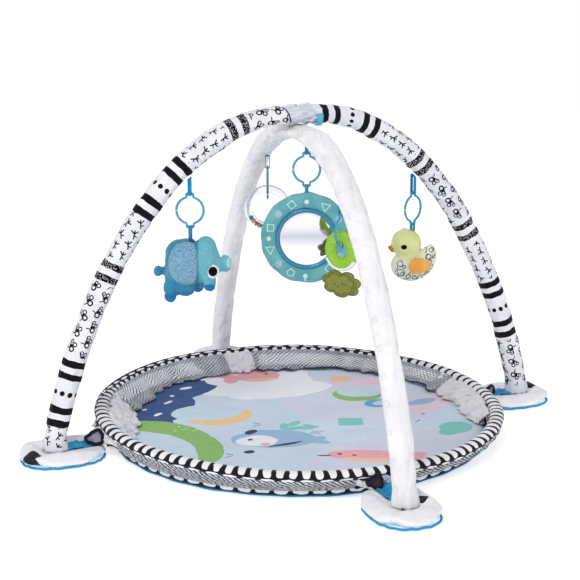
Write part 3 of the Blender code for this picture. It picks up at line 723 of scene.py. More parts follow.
def mat_surface(x, y):
    """Height of the mat's top: a soft quilted pad with long shallow ripples."""
    reach = math.hypot(x, y) / MAT_RADIUS
    ripple = wobble((x, y, 0), 9.0, 0.0013, 3) + wobble((x, y, 0), 24.0, 0.0006, 8)
    edge = max(0.0, (reach - 0.93) / 0.07)
    return MAT_TOP - 0.0008 + ripple * (1 - edge) - 0.0035 * edge ** 2


def mat():
    """The padded mat: a printed, quilted top over its batting."""
    segments, steps = 168, 64
    verts, faces = [Vector((0, 0, mat_surface(0, 0)))], []
    radii = [MAT_RADIUS * k / steps for k in range(1, steps + 1)]
    profile = [(r, None) for r in radii] + [(MAT_RADIUS + 0.0002, 0.0120), (MAT_RADIUS - 0.0005, 0.0060),
                                            (MAT_RADIUS - 0.0060, 0.0042), (0.02, 0.0042)]
    for reach, height in profile:
        for k in range(segments):
            angle = math.tau * k / segments
            x, y = reach * math.cos(angle), reach * math.sin(angle)
            verts.append(Vector((x, y, mat_surface(x, y) if height is None else height)))
    for k in range(segments):
        beside = (k + 1) % segments
        faces.append((0, 1 + k, 1 + beside))
        for row in range(len(profile) - 1):
            low, high = 1 + row * segments, 1 + (row + 1) * segments
            faces.append((low + k, high + k, high + beside, low + beside))
    last = 1 + (len(profile) - 1) * segments
    faces.append(tuple(last + k for k in reversed(range(segments))))
    obj = mesh_object("mat_padded_top", verts, faces)
    finish_piece(obj, "base", mat_print(), ("mat_top_cover", "mat_padding"))


def plain_cloth(name, colour, threads=900.0, sheen=0.1, relief=0.00025, dark=0.88, wrinkle=0.0008):
    """One-colour woven cloth with uneven dye, small wrinkles and its weave."""
    paint = Paint(name, roughness=0.86, sheen=sheen)
    at = paint.here()
    paint.relief((paint.noise(at, 55.0, 4.0), wrinkle), (weave(paint, at, threads), relief))
    return paint.colour(paint.worn(colour, at, 22.0, dark))


def mat_underside():
    """The light-blue bottom cover, whose hem shows all round under the binding."""
    segments = 200
    profile = ((0.02, 0.0030), (0.30, 0.0032), (0.3480, 0.0034), (0.3555, 0.0038), (0.3572, 0.0026),
               (0.3560, 0.0010), (0.3500, 0.0003), (0.30, 0.0001), (0.02, 0.0001))
    rings = []
    for k in range(segments):
        angle = math.tau * k / segments
        hem = 0.0012 * math.sin(angle * 31) + wobble((math.cos(angle), math.sin(angle), 0), 6.0, 0.0020, 4)
        ring = []
        for reach, height in profile:
            out = reach + (hem if reach > 0.35 else 0)
            ring.append(polar(out, angle, height))
        rings.append(ring)
    obj = loft("mat_underside", rings, [MAT_RADIUS * math.tau * k / segments for k in range(segments + 1)],
               evenly(0.01, len(profile)), closed=True)
    finish_piece(obj, "base", plain_cloth("underside_cloth", tone(58, 148, 190)),
                 ("mat_base_cover",))


def oval_rows(paint, u, v, rows):
    """White ovals in rows: each row is (v centre, pitch, half width, half height, power, spread).

    power squares the ovals off, and spread widens them upwards.
    """
    masks = []
    for centre, pitch, half_width, half_height, power, spread in rows:
        up = paint.math("DIVIDE", paint.math("SUBTRACT", v, centre), half_height)
        step = paint.math("SUBTRACT", paint.math("FRACT", paint.math("DIVIDE", u, pitch)), 0.5)
        reach = paint.math("MULTIPLY_ADD", up, spread * half_width, half_width)
        across = paint.math("DIVIDE", paint.math("MULTIPLY", step, pitch), reach)
        total = paint.math("ADD", paint.math("POWER", paint.math("ABSOLUTE", across), power),
                           paint.math("POWER", paint.math("ABSOLUTE", up), power))
        masks.append(paint.below(total, 1.0))
    return paint.either(*masks)


def oval_cloth(name, rows, stitch_rows, girth, twist=0.0):
    """Black cloth printed with rows of white ovals, with stitch lines where two strips meet.

    twist is how far the cloth has turned round its filling at the back of the mat, in metres.
    """
    paint = Paint(name, roughness=0.85, sheen=0.08)
    at = paint.here()
    u, v = paint.split(paint.cloth())[:2]
    u = paint.math("ADD", u, paint.noise(at, 60.0, 1.0, -0.0014, 0.0014))
    v = paint.math("ADD", v, paint.noise(at, 47.0, 1.0, -0.0010, 0.0010))
    turned = paint.ramp(paint.split(at)[1], 0.02, 0.26, 0.0, twist, interpolation_type="SMOOTHSTEP")
    v = paint.math("WRAP", paint.math("SUBTRACT", v, turned), girth / 2, -girth / 2)
    spots = oval_rows(paint, u, v, rows)
    colour = paint.mix(spots, tone(22, 18, 26), tone(244, 244, 249))
    seam = paint.either(*[line_mask(paint, v, row, 0.0006) for row in stitch_rows])
    paint.relief((seam, -0.0008), (paint.noise(at, 75.0, 3.0), 0.0010), (weave(paint, at, 900), 0.0002))
    return paint.colour(paint.worn(colour, at, 30.0, 0.90))


def ring_band(name, major, height, shape, segments, sides, rough):
    """A closed band round the mat, puckered by rough.

    Its section is shape(angle) -> (out, up), and v is the distance round it from its outermost line.
    """
    rings, along = [], [major * math.tau * k / segments for k in range(segments + 1)]
    for k in range(segments):
        turn = math.tau * k / segments
        ring = []
        for j in range(sides):
            angle = math.tau * j / sides - math.pi
            out, up = shape(angle)
            far = Vector((math.cos(turn), math.sin(turn), 0)) * major
            swell = 1 + wobble(far + Vector((0, 0, angle * 0.02)), 38.0, rough, 5)
            swell += rough * 0.5 * math.sin(turn * 160 + 3 * math.sin(turn * 7))
            reach = major + out * swell
            ring.append(polar(reach, turn, height(turn) + up * swell))
        rings.append(ring)
    length = [0.0]
    for j in range(sides):
        a, b = (Vector(shape(math.tau * s / sides - math.pi)) for s in (j, j + 1))
        length.append(length[-1] + (b - a).length)
    return loft(name, rings, along, [v - length[sides // 2] for v in length], closed=True)


def binding():
    """The flattened binding round the mat's edge: black, with flat white ovals."""
    half_width, half_height = 0.0030, 0.0084
    girth = 0.06                 # more than once round it, so its print never wraps

    def shape(angle):
        c, s = math.cos(angle), math.sin(angle)
        return (half_width * math.copysign(abs(c) ** 0.7, c), half_height * math.copysign(abs(s) ** 0.7, s))
    obj = ring_band("mat_binding", BINDING_RADIUS + 0.0008, lambda turn: 0.0120, shape, 360, 20, 0.06)
    rows = ((-0.0012, 0.0317, 0.0118, 0.0050, 2.4, 0.0),)
    cloth = oval_cloth("binding_cloth", rows, (0.0070,), girth)
    finish_piece(obj, "base", cloth, ("base_binding",))


def rim_height(turn):
    """The rim's middle line: it lies lowest at the right and the front, where the wall has sunk."""
    return RIM_Z - 0.0085 - 0.0065 * math.cos(turn + math.radians(40)) + 0.0008 * math.sin(turn * 7)


def rim():
    """The thick padded rim round its spring hoop, black with a tall and a flat row of white ovals."""
    def shape(angle):
        return (RIM_HALF_WIDTH * math.cos(angle), RIM_HALF_HEIGHT * math.sin(angle))
    obj = ring_band("wall_rim_band", RIM_RADIUS, rim_height, shape, 480, 28, 0.055)
    rows = ((0.0180, 0.02131, 0.0069, 0.0176, 4.0, 0.10), (-0.0046, 0.03167, 0.0112, 0.0030, 2.2, 0.0))
    cloth = oval_cloth("rim_cloth", rows, (-0.0092, -0.0010), RIM_GIRTH, 0.0262)
    finish_piece(obj, "wall_rim", cloth, ("rim_piping",))
    line = []
    for k in range(160):
        turn = math.tau * k / 160
        line.append(polar(RIM_RADIUS, turn, rim_height(turn)))
    hoop = tube_along("rim_spring", line, 0.0018, 10, closed=True)
    finish_piece(hoop, "wall_rim", steel("hoop_steel_look"), ("rim_hoop",))


# ---- net wall ----------------------------------------------------------------------------------
NET_PITCH = 0.0094
NET_SLOPE = 1.35


def slump(angle):
    """How far the slack net lies in over the mat at this angle, in metres."""
    return 0.028 + 0.007 * math.sin(angle * 5 + 1) + 0.005 * math.sin(angle * 11)


def hung_out(angle):
    """Share of the net that has fallen outside the mat: all of it along the front, none at the back."""
    return eased(clamp((0.25 - math.sin(angle)) / 0.5))


def fallen_in(angle, share=1.0):
    """The wall's curve where it lies in over the mat, as (distance out, height) points upwards."""
    deep = slump(angle) * share
    top = rim_height(angle) + 0.0035
    points = [(0.3516, 0.0202), (0.3470 - deep * 0.5, 0.0208), (0.3460 - deep, 0.0226),
              (0.3480 - deep * 0.85, 0.28 * top + 0.72 * 0.0226),
              (0.3530 - deep * 0.45, 0.62 * top + 0.38 * 0.0226),
              (0.3592, top)]
    return smooth_curve([Vector((out, 0, up)) for out, up in points], 5)


def fallen_out(angle):
    """The wall's curve where it bulges out over the binding, from the mat's edge up to the rim."""
    top = rim_height(angle) - 0.0058
    low = 0.0122
    points = [(0.3585, low), (0.3630, low + 0.10 * (top - low)), (0.3715, low + 0.30 * (top - low)),
              (0.3790, low + 0.55 * (top - low)), (0.3822, low + 0.80 * (top - low)), (0.3828, top)]
    return smooth_curve([Vector((out, 0, up)) for out, up in points], 5)


def net_cloth():
    """Pale knitted net: dark and grey threads crossing, with half-open meshes between them.  Beyond the
    binding the dark threads are painted near black as painted shade, and a navy painted shadow line runs
    along the fold over the mat.
    """
    paint = Paint("net_cloth", roughness=0.8, sheen=0.1)
    at = paint.here()
    u, v = paint.split(paint.cloth())[:2]
    u = paint.math("ADD", u, paint.noise(at, 70.0, 1.0, -0.0010, 0.0010))
    threads = []
    for sign, share in ((1.0, 0.19), (-1.0, 0.14)):
        slope = paint.math("MULTIPLY_ADD", v, sign * NET_SLOPE, u)
        step = paint.math("SUBTRACT", paint.math("FRACT", paint.math("DIVIDE", slope, NET_PITCH)), 0.5)
        threads.append(paint.below(paint.math("ABSOLUTE", step), share))
    thread = paint.either(*threads)
    paint.plug(paint.shader.inputs["Alpha"], paint.math("MULTIPLY_ADD", thread, 0.35, 0.65))
    paint.relief((thread, 0.0005), (paint.noise(at, 70.0, 3.0), 0.0012))
    pale = paint.mix(paint.noise(at, 22.0, 2.0), tone(214, 216, 224), tone(248, 249, 252))
    grey = paint.mix(threads[1], pale, tone(150, 152, 164))
    reach = paint.vector("LENGTH", paint.vector("MULTIPLY", at, (1, 1, 0)))
    inner = paint.mix(paint.noise(at, 30.0, 2.0), tone(70, 72, 86), tone(160, 162, 172))
    # painted shade: beyond the binding's edge the dark threads are painted near black, for the shadowed gap
    # behind the hanging net; over the mat they stay dark grey
    dark = paint.mix(paint.above(reach, BINDING_RADIUS + 0.006), inner, tone(20, 18, 26))
    grey = paint.mix(threads[0], grey, dark)
    # painted shadow: a wavering navy line along the net's fold where it lies in over the mat
    fold = line_mask(paint, paint.math("ADD", v, paint.noise(at, 14.0, 2.0, -0.004, 0.004)), 0.0262, 0.0022)
    inside = paint.below(reach, MAT_RADIUS - 0.004)
    fold_shadowed = paint.mix(paint.both(fold, inside), grey, tone(36, 48, 84))
    return paint.colour(paint.worn(fold_shadowed, at, 30.0, 0.88))


def net_walls():
    """Four net panels between the gussets, from the mat's edge up to the rim, slack and rippled."""
    material = net_cloth()
    for name, start, before, after in (("back_right", 0, "right", "back"), ("back_left", 90, "back", "left"),
                                       ("front_left", 180, "left", "front"),
                                       ("front_right", 270, "front", "right")):
        columns = 150
        first = math.radians(start + GUSSET_HALF[before])
        last = math.radians(start + 90 - GUSSET_HALF[after])
        rows, us = [], []
        for k in range(columns + 1):
            angle = first + (last - first) * k / columns
            out = hung_out(angle)
            row = []
            curve = [a.lerp(b, out) for a, b in zip(fallen_in(angle), fallen_out(angle))]
            for i, point in enumerate(curve):
                free = math.sin(math.pi * i / (len(curve) - 1))
                ripple = (0.0050 - 0.0025 * out) * free * math.sin(angle * 46 + 2.5 * math.sin(angle * 9))
                ripple += wobble((angle * 9, i * 0.35, start), 1.7, 0.0030, 2) * free
                lift = wobble((angle * 6, point.z * 60, 0), 2.2, 0.0012, 2) * free
                reach = point.x + ripple
                row.append(polar(reach, angle, point.z + abs(lift)))
            rows.append(row)
            us.append(MAT_RADIUS * (angle - first))
        middle = rows[columns // 2]
        vs = [0.0]
        for a, b in zip(middle, middle[1:]):
            vs.append(vs[-1] + (b - a).length)
        obj = grid(f"net_{name}", rows, us, vs)
        finish_piece(obj, None, material, (f"mesh_wall_{name}",))
        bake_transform(obj)


def gusset_cloth():
    """White padded cloth with a black rounded patch on the outside of each gusset."""
    paint = Paint("gusset_cloth", roughness=0.86, sheen=0.12)
    uv = paint.cloth()
    at = paint.here()
    patch = paint.either(paint.ring(uv, (0.017, 0.034), 0.012, 0.0040),
                         paint.bar(uv, (0.014, -0.040), (0.012, 0.008), 0.0, 0.003),
                         paint.bar(uv, (0.062, -0.030), (0.007, 0.006), 0.4, 0.003))
    colour = paint.mix(patch, tone(240, 239, 243), tone(28, 20, 32))
    paint.relief((paint.noise(at, 38.0, 4.0), 0.0075), (weave(paint, at), 0.0002))
    return paint.colour(paint.worn(colour, at, 20.0, 0.90))


def gussets():
    """The padded white panels where the feet are: puffed both ways, out past the rim and in over the mat."""
    material = gusset_cloth()
    for name, degrees in FEET.items():
        columns = 40
        half = GUSSET_HALF[name] + GUSSET_SEAM
        first, last = GUSSET_FLAP[name][0] - half, GUSSET_FLAP[name][1] + half
        rings = []
        for k in range(columns + 1):
            side = 2 * k / columns - 1
            aside = first + (last - first) * k / columns
            angle = math.radians(degrees + aside)
            edge = max(0.0, 1 - abs(side) ** 2.2) ** 0.5
            through = clamp((half + 1.5 - abs(aside)) / 3.0)
            inner_curve = fallen_in(angle, 0.25 + 0.75 * edge)
            for point in inner_curve:
                point.x -= 0.0050 * (1 - through) * edge
            lining = [point + Vector((0.0040 * edge, 0, 0)) for point in inner_curve]
            outer_curve = [a.lerp(b, through) for a, b in zip(lining, fallen_out(angle))]
            middle = [a.lerp(b, 0.5) for a, b in zip(inner_curve, outer_curve)]
            ring = []
            for curve, away, order in ((outer_curve, 1, 1), (inner_curve, -1, -1)):
                row = []
                for i, point in enumerate(curve):
                    share = i / (len(curve) - 1)
                    thick = 0.12 + 0.88 * edge
                    p = middle[i].lerp(point, thick)
                    p.x += away * 0.0055 * edge * math.sin(math.pi * share) ** 0.6
                    p.x += wobble((angle * 16, share * 3, degrees + away), 1.4, 0.0080, 6) * edge
                    p.x += wobble((angle * 40, share * 7, degrees + away), 1.6, 0.0058, 9) * edge
                    wave = math.sin(angle * 62 + share * 7 + 2 * math.sin(share * 5 + degrees))
                    crease = max(0.0, wave) ** 5
                    p.x -= away * 0.0040 * crease * edge * math.sin(math.pi * share)
                    p.z += wobble((angle * 22, share * 6, degrees - away), 1.9, 0.0042, 8) * edge
                    if away > 0 and name == "left":
                        p.x += 0.014 * bell(side - 0.45, 0.42) * math.sin(math.pi * min(1, share * 1.15))
                    p.z = max(p.z, 0.0204 if p.x < 0.356 else 0.0100)
                    row.append(polar(p.x, angle, p.z))
                ring += row[::order]
            rings.append(ring)
        length = [0.0]
        count = len(rings[0])
        for j in range(1, count + 1):
            length.append(length[-1] + (rings[columns // 2][j % count] - rings[columns // 2][j - 1]).length)
        along = [math.radians(first + (last - first) * k / columns) * MAT_RADIUS for k in range(columns + 1)]
        obj = loft(f"gusset_{name}", rings, along, length, caps=True)
        for corner in obj.data.uv_layers["metres"].data:
            corner.uv = (corner.uv[1], corner.uv[0])
        finish_piece(obj, None, material, (f"wall_gusset_{name}",))
        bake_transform(obj)


def wall_loops():
    """The black-bound cloth loop at each foot, which holds the wall in to the webbing."""
    black = plain_cloth("loop_binding_cloth", tone(26, 18, 30), 1000.0)
    grey = plain_cloth("loop_lining_cloth", tone(150, 150, 172), 1000.0)
    maroon = plain_cloth("loop_back_cloth", tone(62, 44, 62), 1000.0)
    loops = {"left": (0.020, 0.402, 0.0125, 0, grey), "front": (-0.020, 0.396, 0.0100, 78, maroon),
             "right": (-0.012, 0.404, 0.0070, 0, grey), "back": (-0.020, 0.402, 0.0085, 60, maroon)}
    for name, (aside, out, size, spin, lining) in loops.items():
        middle = Vector((out, aside, 0.0262 + size))
        facing = Matrix.Rotation(math.radians(spin), 3, "Z")
        line = []
        for k in range(48):
            turn = math.tau * k / 48
            wave = 1 + 0.10 * math.sin(turn * 3 + aside * 90) + 0.04 * math.sin(turn * 7)
            reach = Vector((size * 1.25 * math.cos(turn), 0, size * math.sin(turn))) * wave
            line.append(middle + facing @ (reach + Vector((0, 0.0030 * math.sin(turn * 2), 0))))
        place = Matrix.Rotation(math.radians(FEET[name]), 4, "Z")
        loop = tube_along(f"wall_loop_{name}", line, 0.0032, 12, closed=True)
        loop.matrix_world = place
        finish_piece(loop, "base", black)
        rows = [[middle.lerp(p, share) + facing @ Vector((0, 0.0016 * math.cos(share * 3) + depth, 0))
                 for p in line]
                for depth, shares in ((-0.0012, (0.05, 0.35, 0.65, 0.92)), (0.0012, (0.92, 0.65, 0.35, 0.05)))
                for share in shares]
        cloth = loft(f"wall_loop_lining_{name}", rows, evenly(0.003, len(rows)),
                     evenly(0.0015, len(line)), caps=True)
        cloth.matrix_world = place
        finish_piece(cloth, "base", lining)


mat()
mat_underside()
binding()
rim()
net_walls()
gussets()
wall_loops()


# ---- feet --------------------------------------------------------------------------------------
def pad_cloth(name, patch, half, turn):
    """White quilted cloth, light blue low down, with a black corner patch."""
    paint = Paint(name, roughness=0.86, sheen=0.12)
    at = paint.here()
    z = paint.split(at)[2]
    flat = paint.vector("MULTIPLY", at, (1, 1, 0))
    colour = paint.mix(paint.bar(flat, patch, half, turn, 0.006), tone(240, 239, 243), tone(26, 20, 32))
    hem = paint.math("MULTIPLY_ADD", paint.noise(at, 60.0, 2.0), 0.0022, 0.0036)
    colour = paint.mix(paint.below(z, hem), colour, tone(66, 165, 205))
    paint.relief((paint.noise(at, 42.0, 4.0), 0.0030), (weave(paint, at), 0.0002))
    return paint.colour(paint.worn(colour, at, 20.0, 0.92))


def outline_point(turn, half_length, half_width, roundness):
    """A point on a pad's rounded outline."""
    c, s = math.cos(turn), math.sin(turn)
    return (half_length * math.copysign(abs(c) ** (2 / roundness), c),
            half_width * math.copysign(abs(s) ** (2 / roundness), s))


def pillow(name, half_length, half_width, low, high, roundness):
    """A flat-bottomed pad with a crowned top, as a closed mesh."""
    segments, steps = 56, 9
    rings = []
    for k in range(steps + 1):
        rise = math.pi * k / steps
        share = max(math.sin(rise), 0.04) ** 0.42
        height = low + (high - low) * (0.5 - 0.5 * math.cos(rise)) ** 0.9
        ring = []
        for j in range(segments):
            x, y = outline_point(math.tau * j / segments, half_length, half_width, roundness)
            ring.append(Vector((x * share, y * share, height)))
        rings.append(ring)
    return loft(name, rings, [0.0] * len(rings), [0.0] * (segments + 1), caps=True)


def crease_pad(obj, index):
    """Brings a pad to size, creases it and presses it flat on the floor and under its socket."""
    pin = FOOT_REACH - PAD_CENTRE
    stretch = [(size - 0.0012) / max(abs(v.co[axis]) for v in obj.data.vertices)
               for axis, size in ((0, PAD_HALF_LENGTH), (1, PAD_HALF_WIDTH))]
    for v in obj.data.vertices:
        p = v.co
        p.x *= stretch[0]
        p.y *= stretch[1]
        crease = wobble((p.x, p.y, 0), 26.0, 0.0022, 10 + index)
        crease += wobble((p.x, p.y, 0), 60.0, 0.0008, index)
        radial = bell(math.hypot(p.x - pin, p.y) - 0.030, 0.010)
        spoke = 0.0010 * radial * math.sin(9 * math.atan2(p.y, p.x - pin))
        if p.z > 0.006:
            near = max(abs(p.x - pin) / 0.021, abs(p.y) / 0.019)
            rise = min(1, (p.z - 0.006) / 0.006)
            rim_share = max(abs(p.x) / PAD_HALF_LENGTH, abs(p.y) / PAD_HALF_WIDTH)
            bolster = 0.0085 * bell(rim_share - 0.72, 0.24) * clamp((near - 1) / 0.7)
            p.z += (crease + spoke + bolster) * rise
            under_strap = bell(p.y, 0.024) * clamp(-(p.x - 0.004) / 0.020)
            top = 0.0178 + 0.0110 * clamp((near - 1) / 0.8) * (1 - min(1.0, 1.4 * under_strap))
            p.z = min(p.z, top)
        p.z = max(p.z, 0.0012)
    obj.data.update()


def foot_pads():
    """Four stuffed foot pads: one simulated cushion, each with its own creases and patch."""
    piping_cloth = plain_cloth("piping_cloth", tone(52, 152, 198), 1000.0)
    source = pillow("pad_source", PAD_HALF_LENGTH - 0.004, PAD_HALF_WIDTH - 0.004, 0.0022, PAD_TOP - 0.0015,
                    PAD_ROUNDNESS)
    remesh(source, 0.0045, 3)
    inflate(source, 4.0, 0.005)
    pads = [source if name == "right" else add_object("pad", source.data.copy()) for name in FEET]
    for index, (obj, name) in enumerate(zip(pads, FEET)):
        obj.name = f"foot_cushion_{name}"
        crease_pad(obj, index)
        obj.matrix_world = (Matrix.Rotation(math.radians(FEET[name]), 4, "Z")
                            @ Matrix.Translation((PAD_CENTRE, 0, 0)))
        cloth = pad_cloth(f"pad_cloth_{name}", *PAD_PATCHES[name])
        finish_piece(obj, "base", cloth, (f"foot_pad_{name}",))
        hem = []
        for k in range(160):
            angle = math.tau * k / 160
            x, y = outline_point(angle, PAD_HALF_LENGTH - 0.0040, PAD_HALF_WIDTH - 0.0040, PAD_ROUNDNESS)
            swing = 1 + 0.006 * math.sin(angle * 23 + index) + 0.006 * math.sin(angle * 9)
            hem.append(Vector((x * swing, y * swing, 0.0030 + 0.0005 * math.sin(angle * 17))))
        piping = tube_along(f"foot_piping_{name}", hem, 0.0022, 12, closed=True)
        piping.matrix_world = obj.matrix_world.copy()
        finish_piece(piping, "base", piping_cloth)


def strap_cloth():
    """Bright blue puckered webbing, ribbed across."""
    paint = Paint("strap_webbing", roughness=0.75, sheen=0.15)
    uv = paint.cloth()
    at = paint.here()
    u, v = paint.split(uv)[:2]
    ribs = paint.math("SINE", paint.math("MULTIPLY", u, 3600.0))
    cross = paint.math("SINE", paint.math("MULTIPLY", v, 3600.0))
    height = paint.math("ADD", ribs, paint.math("MULTIPLY", cross, 0.5))
    paint.relief((height, 0.00018), (paint.noise(at, 90.0, 3.0), 0.0012))
    blue = paint.mix(paint.noise(at, 40.0, 2.0), tone(0, 128, 190), tone(40, 175, 222))
    return paint.colour(paint.worn(blue, at, 30.0, 0.85))


def straps():
    """The bunched blue webbing from each foot to the wall."""
    material = strap_cloth()
    route = smooth_curve([Vector((out, 0, up)) for out, up in (
        (0.4500, 0.0208), (0.4330, 0.0240), (0.4170, 0.0222), (0.4010, 0.0250), (0.3900, 0.0240),
        (0.3830, 0.0250))], 8)
    for index, (name, degrees) in enumerate(FEET.items()):
        rows, us, vs = [], [0.0], []
        across = 16
        for i, point in enumerate(route):
            share = i / (len(route) - 1)
            half = 0.0145 + 0.0050 * math.sin(math.pi * share) + 0.0012 * math.sin(share * 21 + index)
            row = []
            for k in range(across + 1):
                side = 2 * k / across - 1
                fold = 0.0016 * math.sin(side * 9 + share * 12 + index) * math.sin(math.pi * share)
                fold += 0.0009 * math.sin(share * 40 + side * 3)
                drop = 0.0016 * side ** 2
                local = Vector((point.x, side * half, max(0.0205, point.z + fold - drop)))
                row.append(Matrix.Rotation(math.radians(degrees), 3, "Z") @ local)
            rows.append(row)
            if i:
                us.append(us[-1] + (route[i] - route[i - 1]).length)
        vs = [0.030 * k / across for k in range(across + 1)]
        obj = grid(f"foot_webbing_{name}", rows, us, vs)
        made = obj.modifiers.new("thickness", "SOLIDIFY")
        made.thickness = 0.0012
        apply_modifiers(obj)
        finish_piece(obj, "base", material, (f"foot_strap_{name}",))


# ---- arches ------------------------------------------------------------------------------------
# what the black print shows along the patterned arch, by distance from the left pin, in metres
SOLID_PAIRS = (0.0555, 0.1420, 0.4610, 0.5440, 0.8545, 0.9370, 1.3750, 1.4635)
DOT_ROWS = (0.0990, 0.5030, 0.8960, 1.4200)
SPECKLED_PAIRS = (0.3285, 0.6770, 1.0690, 1.2390)
TWIG_SPANS = ((0.000, 0.036), (0.352, 0.442), (0.566, 0.654), (0.962, 1.046), (1.266, 1.352))
CURL_SPANS = ((0.168, 0.306), (0.702, 0.770), (1.094, 1.214), (1.488, 1.589))
STRIPE_OFFSET = 0.0120
CUFF_EDGE = 0.7800           # where the left half of the sleeve ends, in a navy edge
CUFF_SLANT = 0.22            # how far that edge slants, per metre round the sleeve
GATHER_CENTRE = CUFF_EDGE + 0.028    # plain gathered cloth beyond that edge, streaked along its folds with blue-grey painted shade
GATHER_HALF = 0.026
HANGING_PLACES = (-0.210, 0.232)
STRIPE_HALF = 0.0062


def nearest(paint, u, places):
    """Distance along the sleeve to the nearest of several places."""
    result = None
    for place in places:
        reach = paint.math("ABSOLUTE", paint.math("SUBTRACT", u, place))
        result = reach if result is None else paint.math("MINIMUM", result, reach)
    return result


def spans(paint, u, ranges):
    """1 within any of the ranges along the sleeve."""
    masks = []
    for low, high in ranges:
        away = paint.math("ABSOLUTE", paint.math("SUBTRACT", u, (low + high) / 2))
        masks.append(paint.below(away, (high - low) / 2))
    return paint.either(*masks)


def scattered(paint, u, v, pitch_u, pitch_v, sway):
    """Each cell's own point, turned by its own small angle, and that cell's number."""
    lane = paint.math("FLOOR", paint.math("DIVIDE", v, pitch_v))
    shifted = paint.math("ADD", u, paint.math("MULTIPLY", paint.math("MODULO", lane, 2.0), pitch_u / 2))
    column = paint.math("FLOOR", paint.math("DIVIDE", shifted, pitch_u))
    local_u = paint.math("MULTIPLY_ADD", column, -pitch_u, paint.math("SUBTRACT", shifted, pitch_u / 2))
    local_v = paint.math("MULTIPLY_ADD", lane, -pitch_v, paint.math("SUBTRACT", v, pitch_v / 2))
    chance = paint.random(paint.join(column, lane, 0.5))
    turned = paint.node("ShaderNodeVectorRotate", rotation_type="Z_AXIS")
    paint.plug(turned.inputs["Vector"], paint.join(local_u, local_v))
    paint.plug(turned.inputs["Angle"], paint.math("MULTIPLY", paint.math("SUBTRACT", chance, 0.5), sway))
    return turned.outputs[0]


def print_cloth():
    """White cloth with a bold black print: paired stripes, dots, speckled pairs, twigs and curls.

    The gathers' blue-grey painted shade goes under the print, so that it doesn't grey the stripe beside them.
    """
    paint = Paint("sleeve_print_cloth", roughness=0.85, sheen=0.04)
    uv = paint.cloth()
    at = paint.here()
    u, v = paint.split(uv)[:2]
    wander = paint.noise(at, 45.0, 2.0, -0.0013, 0.0013)
    along = paint.math("ADD", u, wander)

    def stripes(places):
        away = paint.math("SUBTRACT", nearest(paint, along, places), STRIPE_OFFSET)
        return paint.below(paint.math("ABSOLUTE", away), STRIPE_HALF)
    solid = stripes(SOLID_PAIRS)
    flecks = paint.below(paint.cells(at, 420.0), 0.30)
    speckled = paint.without(stripes(SPECKLED_PAIRS), flecks)

    lane = math.tau * PATTERN_RADIUS / 9
    beside = paint.math("SUBTRACT", paint.math("MODULO", v, lane), lane / 2)
    dot = paint.vector("LENGTH", paint.join(nearest(paint, along, DOT_ROWS), beside))
    dots = paint.below(dot, 0.0046)

    twig_lane = math.tau * PATTERN_RADIUS / 6
    twig_at = scattered(paint, u, v, 0.0215, twig_lane, 1.3)
    twig = paint.either(
        paint.bar(twig_at, (-0.0010, 0.0), (0.0072, 0), 0.0, 0.0012),
        paint.bar(twig_at, (0.0030, 0.0030), (0.0036, 0), 0.9, 0.0012),
        paint.bar(twig_at, (0.0030, -0.0030), (0.0036, 0), -0.9, 0.0012),
        paint.bar(twig_at, (-0.0036, 0.0026), (0.0024, 0), 1.9, 0.0011))
    curl_lane = math.tau * PATTERN_RADIUS / 5
    curl_at = scattered(paint, u, v, 0.0285, curl_lane, 1.6)
    curl = paint.either(
        paint.ring(curl_at, (-0.0055, 0.0030), 0.0042, 0.0014),
        paint.ring(curl_at, (0.0046, 0.0036), 0.0034, 0.0011),
        paint.ring(curl_at, (0.0068, -0.0046), 0.0027, 0.0009),
        paint.oval(curl_at, (-0.0012, -0.0014), (0.0042, 0.0026), 0.6),
        paint.bar(curl_at, (0.0014, -0.0050), (0.0056, 0), -0.5, 0.0012),
        paint.bar(curl_at, (-0.0080, -0.0056), (0.0034, 0), 1.1, 0.0010))
    black = paint.either(solid, speckled, dots, paint.both(spans(paint, u, TWIG_SPANS), twig),
                         paint.both(spans(paint, u, CURL_SPANS), curl))
    colour = paint.mix(paint.noise(at, 16.0, 3.0), tone(222, 222, 230), tone(242, 241, 245))
    half_round = math.pi * PATTERN_RADIUS
    cuff = paint.math("SUBTRACT", u,
                      paint.math("MULTIPLY", paint.math("SUBTRACT", v, half_round), CUFF_SLANT))
    # painted shade: blue-grey streaks along the gathers' folds beyond the navy edge
    fold_shade_streaks = paint.noise(paint.join(paint.math("MULTIPLY", u, 0.25), v), 330.0, 2.0)
    gathered = paint.both(line_mask(paint, cuff, GATHER_CENTRE, GATHER_HALF), fold_shade_streaks)
    colour = paint.mix(paint.math("MULTIPLY", gathered, 0.75), colour, tone(176, 186, 208))
    colour = paint.mix(black, colour, tone(5, 4, 11))
    navy = line_mask(paint, cuff, CUFF_EDGE, 0.0019)
    colour = paint.mix(navy, colour, tone(48, 66, 104))
    seam = line_mask(paint, v, half_round, 0.0006)
    paint.relief((seam, -0.0012), (paint.noise(at, 48.0, 4.0), 0.0030), (weave(paint, at), 0.0002))
    return paint.colour(colour)


def white_cloth():
    """Plain white cloth, cool in the folds, with faint tonal curls and a seam underneath."""
    paint = Paint("sleeve_white_cloth", roughness=0.82, sheen=0.12)
    uv = paint.cloth()
    at = paint.here()
    u, v = paint.split(uv)[:2]
    curl_at = scattered(paint, u, v, 0.046, math.tau * WHITE_RADIUS / 3, 2.0)
    curl = paint.either(paint.ring(curl_at, (-0.004, 0.003), 0.0052, 0.0007),
                        paint.ring(curl_at, (-0.001, 0.002), 0.0026, 0.0006))
    colour = paint.mix(paint.noise(at, 13.0, 3.0), tone(229, 227, 231), tone(247, 245, 247))
    colour = paint.mix(paint.math("MULTIPLY", curl, 0.30), colour, tone(200, 198, 208))
    seam = line_mask(paint, v, math.pi * WHITE_RADIUS, 0.0006)
    paint.relief((seam, -0.0012), (curl, -0.0003), (paint.noise(at, 30.0, 4.0), 0.0040),
                 (weave(paint, at), 0.0002))
    return paint.colour(colour)


